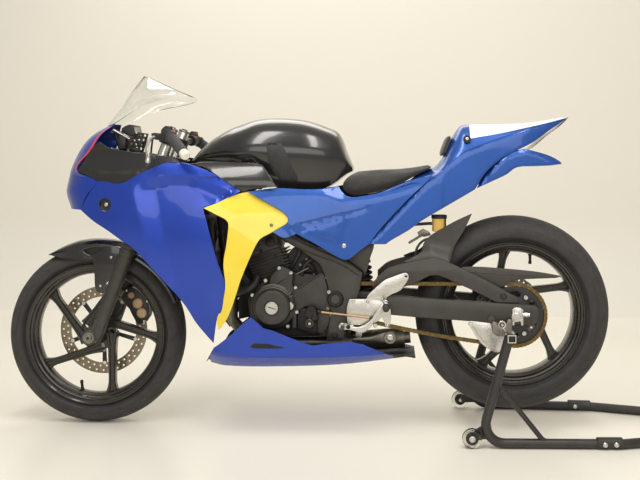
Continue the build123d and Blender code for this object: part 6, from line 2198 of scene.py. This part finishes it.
bars = Shape().paint(SATIN_BLACK)
turned(bars, on_leg(672.5, LEG_SPREAD), UP_FORK, [(0, 26.8), (1.4, 28.2), (25.6, 28.2), (27, 26.8)], 40)
route = [on_leg(686, LEG_SPREAD + 10), BAR_ROOT.lerp(GRIP_INNER, 0.1), GRIP_INNER, GRIP_INNER + OUTWARD * 140]
pipe(bars, bent_path(route, 40, 6), 10.8, 20)
for along in (679, 693):
    screw(bars, on_leg(along, LEG_SPREAD - 12, 27), AHEAD_FORK, 4.4, 4.4, STEEL)
bars.paint(CREAM)
weight = [(0, 12.5), (1, 14.2), (5, 15), (17, 15), (21, 14.2), (24, 12), (25.2, 9), (25.4, 5.5), (23.5, 5)]
turned(bars, GRIP_INNER + OUTWARD * 118.6, OUTWARD, weight + [(23.4, 1)], 32)
bars.mirror()
for side in (-1, 1):
    across = Vector((1, side, 1))
    inner, out = GRIP_INNER * across, OUTWARD * across
    near = inner - out * 2
    bars.paint(PLASTIC)
    turned(
        bars, near - out * 30, out,
        [(0, 14), (2, 17), (10, 18.4), (20, 18.6), (36, 18.6), (41, 18), (43, 16)], 14,
    )
    box_at = near - out * 12 + Vector((-2, 0, 12))
    turned(bars, box_at, (-0.1, 0, 1), [(0, 13.5), (8, 13), (10, 11.5)], 8)
    bars.paint(RED if side > 0 else YELLOW)
    turned(bars, near - out * 8 + Vector((-16, 0, 6)), (-1, 0, 0.3), [(0, 4.6), (4, 4.4), (5, 3.6)], 16)
    bars.paint(RED if side < 0 else CREAM)
    turned(
        bars, near - out * 22 + Vector((-15, 0, 10)), (-1, 0, 0.5), [(0, 4.0), (4.5, 3.6), (5.5, 2.6)], 16,
    )
    bars.paint(RUBBER)
    perch = PERCH * across
    cable = [perch + Vector((14, 0, -2)), perch + Vector((40, side * -16, 4)), on_leg(676, side * 86, 52)]
    hose(bars, cable + [on_stem(560, side * 26, 60), on_stem(480, side * 30, 44)], 3.2, 8)
bars.make("clip_on_bars", "black_metal", "steering")

grips = Shape().paint(RUBBER)
profile = [(0, 15), (0.4, 19.4), (3.6, 19.4), (4, 16.4)]
for at in (6 + 4.8 * k for k in range(20)):
    profile += [(at, 16.2), (at + 0.6, 17.0), (at + 3.4, 17.0), (at + 4.0, 16.2)]
profile += [(100.5, 16.2), (101, 17.4), (103, 17.4), (103.6, 15)]
turned(grips, GRIP_INNER + OUTWARD * 14.2, OUTWARD, profile, 36)
grips.mirror()
grips.make("hand_grips", "grip_grey", "steering", sharp=30)

LEVER_ROOT = Vector((656, 172, 943))
LEVER_BEND = Vector((666, 222, 917))
LEVER_BALL = Vector((643, 312, 864))
levers = Shape().paint(SATIN_BLACK)
turned(levers, PERCH - ALONG_BAR * 13, ALONG_BAR, [(0, 17.6), (1.4, 19), (24.6, 19), (26, 17.6)], 36)
pipe(levers, [PERCH + Vector((6, 0, -2)), LEVER_ROOT + Vector((-2, -6, 0))], [13, 11], 16)
pipe(levers, [LEVER_ROOT + Vector((0, -2, 9)), LEVER_ROOT + Vector((0, -2, -9))], 11, 24)
levers.paint(STEEL)
turned(levers, LEVER_ROOT + Vector((0, -2, 8.6)), UP, [(0, 6), (2.6, 6), (3, 5)], 6)
levers.paint(SILVER)
path = smooth_path([
    LEVER_ROOT, LEVER_ROOT.lerp(LEVER_BEND, 0.45) + Vector((5, 0, 1)), LEVER_BEND,
    LEVER_BEND.lerp(LEVER_BALL, 0.3) + Vector((3, 0, -1)), LEVER_BEND.lerp(LEVER_BALL, 0.7), LEVER_BALL,
], 7)
shares = np.linspace(0, 1, len(path))
radii = [8.2 - 2.1 * math.sin(math.pi * min(t * 1.2, 1)) - 1.6 * t for t in shares]
pipe(levers, path, radii, 18, squash=0.72)
ball = [(9 + 8.8 * math.sin(a), 8.8 * math.cos(a)) for a in np.linspace(-1.35, 1.4, 12)]
blade_way = (LEVER_BALL - LEVER_BEND).normalized()
turned(levers, LEVER_BALL - blade_way * 8.6, blade_way, ball, 24)
levers.mirror()
levers.make("hand_levers", "silver", "steering")


# ---------------------------------------------------------------- instrument and its stay
gauge = Shape().paint(PLASTIC)
plate(
    gauge,
    [(795, 972), (784, 980), (770, 985.5), (758, 984), (751.5, 948), (763, 946), (780, 954), (794, 962)],
    -56, 56, 5,
)
gauge.paint(GLOSS_BLACK)
face_low, face_high = Vector((752.2, 0, 952)), Vector((757.2, 0, 980))
rise = (face_high - face_low).normalized()
back = Vector((-rise.z, 0, rise.x))
rows = []
for grow, out in ((0, 0.0), (0, 1.6), (3, 2.4), (4, 2.2)):
    rows.append([tuple((face_low + rise * u + back * out) + Vector((0, y, 0))) for u, y in (
        (grow, -48 + grow), (grow, 48 - grow), (27 - grow, 48 - grow), (27 - grow, -48 + grow),
    )])
gauge.rows(rows)
gauge.paint(CREAM)
for y in (-34, 34):
    button_at = face_low + rise * 6 + back * 1.8 + Vector((0, y, 0))
    turned(gauge, button_at, back, [(0, 4), (2, 3.6), (2.4, 2.8)], 16)
gauge.make("instrument")

STAY_PLATE = [(784, 917), (746, 961), (724, 958), (730, 935), (741, 896), (764, 900)]
STAY_HOLES = [(750, 922), (762, 914), (742, 938), (756, 936), (768, 922), (736, 952), (750, 950), (750, 908)]
stay = Shape().paint(SATIN_BLACK)
holes = [circle(at, 4.2, 16) for at in STAY_HOLES]
for side in (-1, 1):
    start = Vector((674.35, 24 * side, 783.9))
    pipe(stay, bent_path([start, (800, 24 * side, 890), (824, 24 * side, 960)], 30, 6), 6.8, 16)
    plate(stay, STAY_PLATE, 27 * side - 1.6, 27 * side + 1.6, 0.5, holes)
plate(stay, [(784, 905), (808, 905), (806, 947), (780, 946)], -50, 50, 2)
bar(stay, (815, -100, 900), (815, 100, 900), 5.8)
bar(stay, (824, -60, 960), (824, 60, 960), 5.8)
bar(stay, (741, -30, 944), (741, 30, 944), 4)
bar(stay, (770, -30, 915), (770, 30, 915), 4)
stay.paint(SILVER)
for side in (-1, 1):
    bar(stay, (823, 50 * side, 968), (768, 50 * side, 937), 3.6)
    screw(stay, (815, 92 * side, 905), UP, 5, 3, STEEL)
stay.make("cowl_stay", "frame_dark")


# ---------------------------------------------------------------- pieces that keep their frame shape
for name, material in (("subframe", FRAME), ("exhaust", DULL_STEEL), ("yokes", FRAME)):
    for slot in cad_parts[name].material_slots:
        slot.material = material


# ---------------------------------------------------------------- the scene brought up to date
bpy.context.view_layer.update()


# ---------------------------------------------------------------- floor, backdrop, light and camera
floor_look, floor_tree, floor_shader = nodes_of("studio_cream")
floor_shader.inputs["Base Color"].default_value = (0.87, 0.835, 0.745, 1)
floor_shader.inputs["Roughness"].default_value = 0.32
wall_look, wall_tree, wall_shader = nodes_of("studio_wall")
wall_shader.inputs["Base Color"].default_value = (0.83, 0.80, 0.715, 1)
wall_shader.inputs["Roughness"].default_value = 0.6
for tree, shader in ((floor_tree, floor_shader), (wall_tree, wall_shader)):  # clear from behind
    seen = tree.nodes.new("ShaderNodeNewGeometry")
    clear_back = tree.nodes.new("ShaderNodeBsdfTransparent")
    mix = tree.nodes.new("ShaderNodeMixShader")
    output = next(node for node in tree.nodes if node.type == "OUTPUT_MATERIAL")
    tree.links.new(seen.outputs["Backfacing"], mix.inputs[0])
    tree.links.new(shader.outputs[0], mix.inputs[1])
    tree.links.new(clear_back.outputs[0], mix.inputs[2])
    tree.links.new(mix.outputs[0], output.inputs["Surface"])
FLOOR_REACH, WALL_FOOT, COVE, WALL_TOP = 9.0, -1.9, 0.6, 6.0  # metres
WALL_FROM = 5  # the strip of the profile where the wall's look begins
profile = [(FLOOR_REACH, 0.0), (WALL_FOOT, 0.0)]
cove = np.linspace(0.1, math.pi / 2, 14)
profile += [(WALL_FOOT - COVE * math.sin(a), COVE - COVE * math.cos(a)) for a in cove]
profile += [(WALL_FOOT - COVE, WALL_TOP)]
count = len(profile)
points = [(x, y, z) for x in (-FLOOR_REACH, FLOOR_REACH) for y, z in profile]
faces = [(i, i + 1, count + i + 1, count + i) for i in range(count - 1)]
room_mesh = bpy.data.meshes.new("floor_and_backdrop")
room_mesh.from_pydata(points, [], faces)
room_mesh.polygons.foreach_set("use_smooth", [True] * len(faces))
room_mesh.materials.append(floor_look)
room_mesh.materials.append(wall_look)
room_mesh.polygons.foreach_set("material_index", [int(i >= WALL_FROM) for i in range(len(faces))])
room = bpy.data.objects.new("floor_and_backdrop", room_mesh)
bpy.context.scene.collection.objects.link(room)

world = bpy.data.worlds.new("soft_room")
world.use_nodes = True
glow = world.node_tree.nodes["Background"]
glow.inputs["Color"].default_value = (1.0, 0.965, 0.90, 1)
glow.inputs["Strength"].default_value = 0.44
bpy.context.scene.world = world


def lamp(name, place, target, size, power):
    """A soft area light that faces its target."""
    data = bpy.data.lights.new(name, "AREA")
    data.shape = "RECTANGLE"
    data.size, data.size_y = size
    data.energy = power
    data.color = (1, 0.97, 0.92)
    light = bpy.data.objects.new(name, data)
    light.location = place
    light.rotation_euler = (Vector(target) - Vector(place)).to_track_quat("-Z", "Y").to_euler()
    bpy.context.scene.collection.objects.link(light)


lamp("ceiling_row_front", (0.9, 1.4, 3.6), (0.6, 0, 0.5), (0.5, 3.0), 54)
lamp("ceiling_row_rear", (-0.9, 1.4, 3.6), (-0.6, 0, 0.5), (0.5, 3.0), 54)
lamp("room_fill", (-0.2, 4.4, 1.9), (0, 0, 0.6), (4.5, 1.8), 58)
lamp("far_side", (0.4, -2.2, 2.8), (0, 0, 0.7), (3.0, 1.0), 28)

CAMERA_PLACE = (-0.0907, 3.308, 0.835)
YAW, ROLL = math.radians(2.0), math.radians(0.45)
ahead = Vector((math.sin(YAW), -math.cos(YAW), 0))
level_right = Vector((-math.cos(YAW), -math.sin(YAW), 0))
up = Vector((0, 0, 1))
right = level_right * math.cos(ROLL) + up * math.sin(ROLL)
top = up * math.cos(ROLL) - level_right * math.sin(ROLL)
lens = bpy.data.cameras.new("photo_camera")
lens.sensor_width = 36
lens.lens = 56.25
lens.shift_x = -0.05625
lens.shift_y = -0.10625
camera = bpy.data.objects.new("photo_camera", lens)
camera.matrix_world = Matrix.Translation(CAMERA_PLACE) @ Matrix((right, top, -ahead)).transposed().to_4x4()
bpy.context.scene.collection.objects.link(camera)
bpy.context.scene.camera = camera
bpy.context.scene.view_settings.view_transform = "Standard"
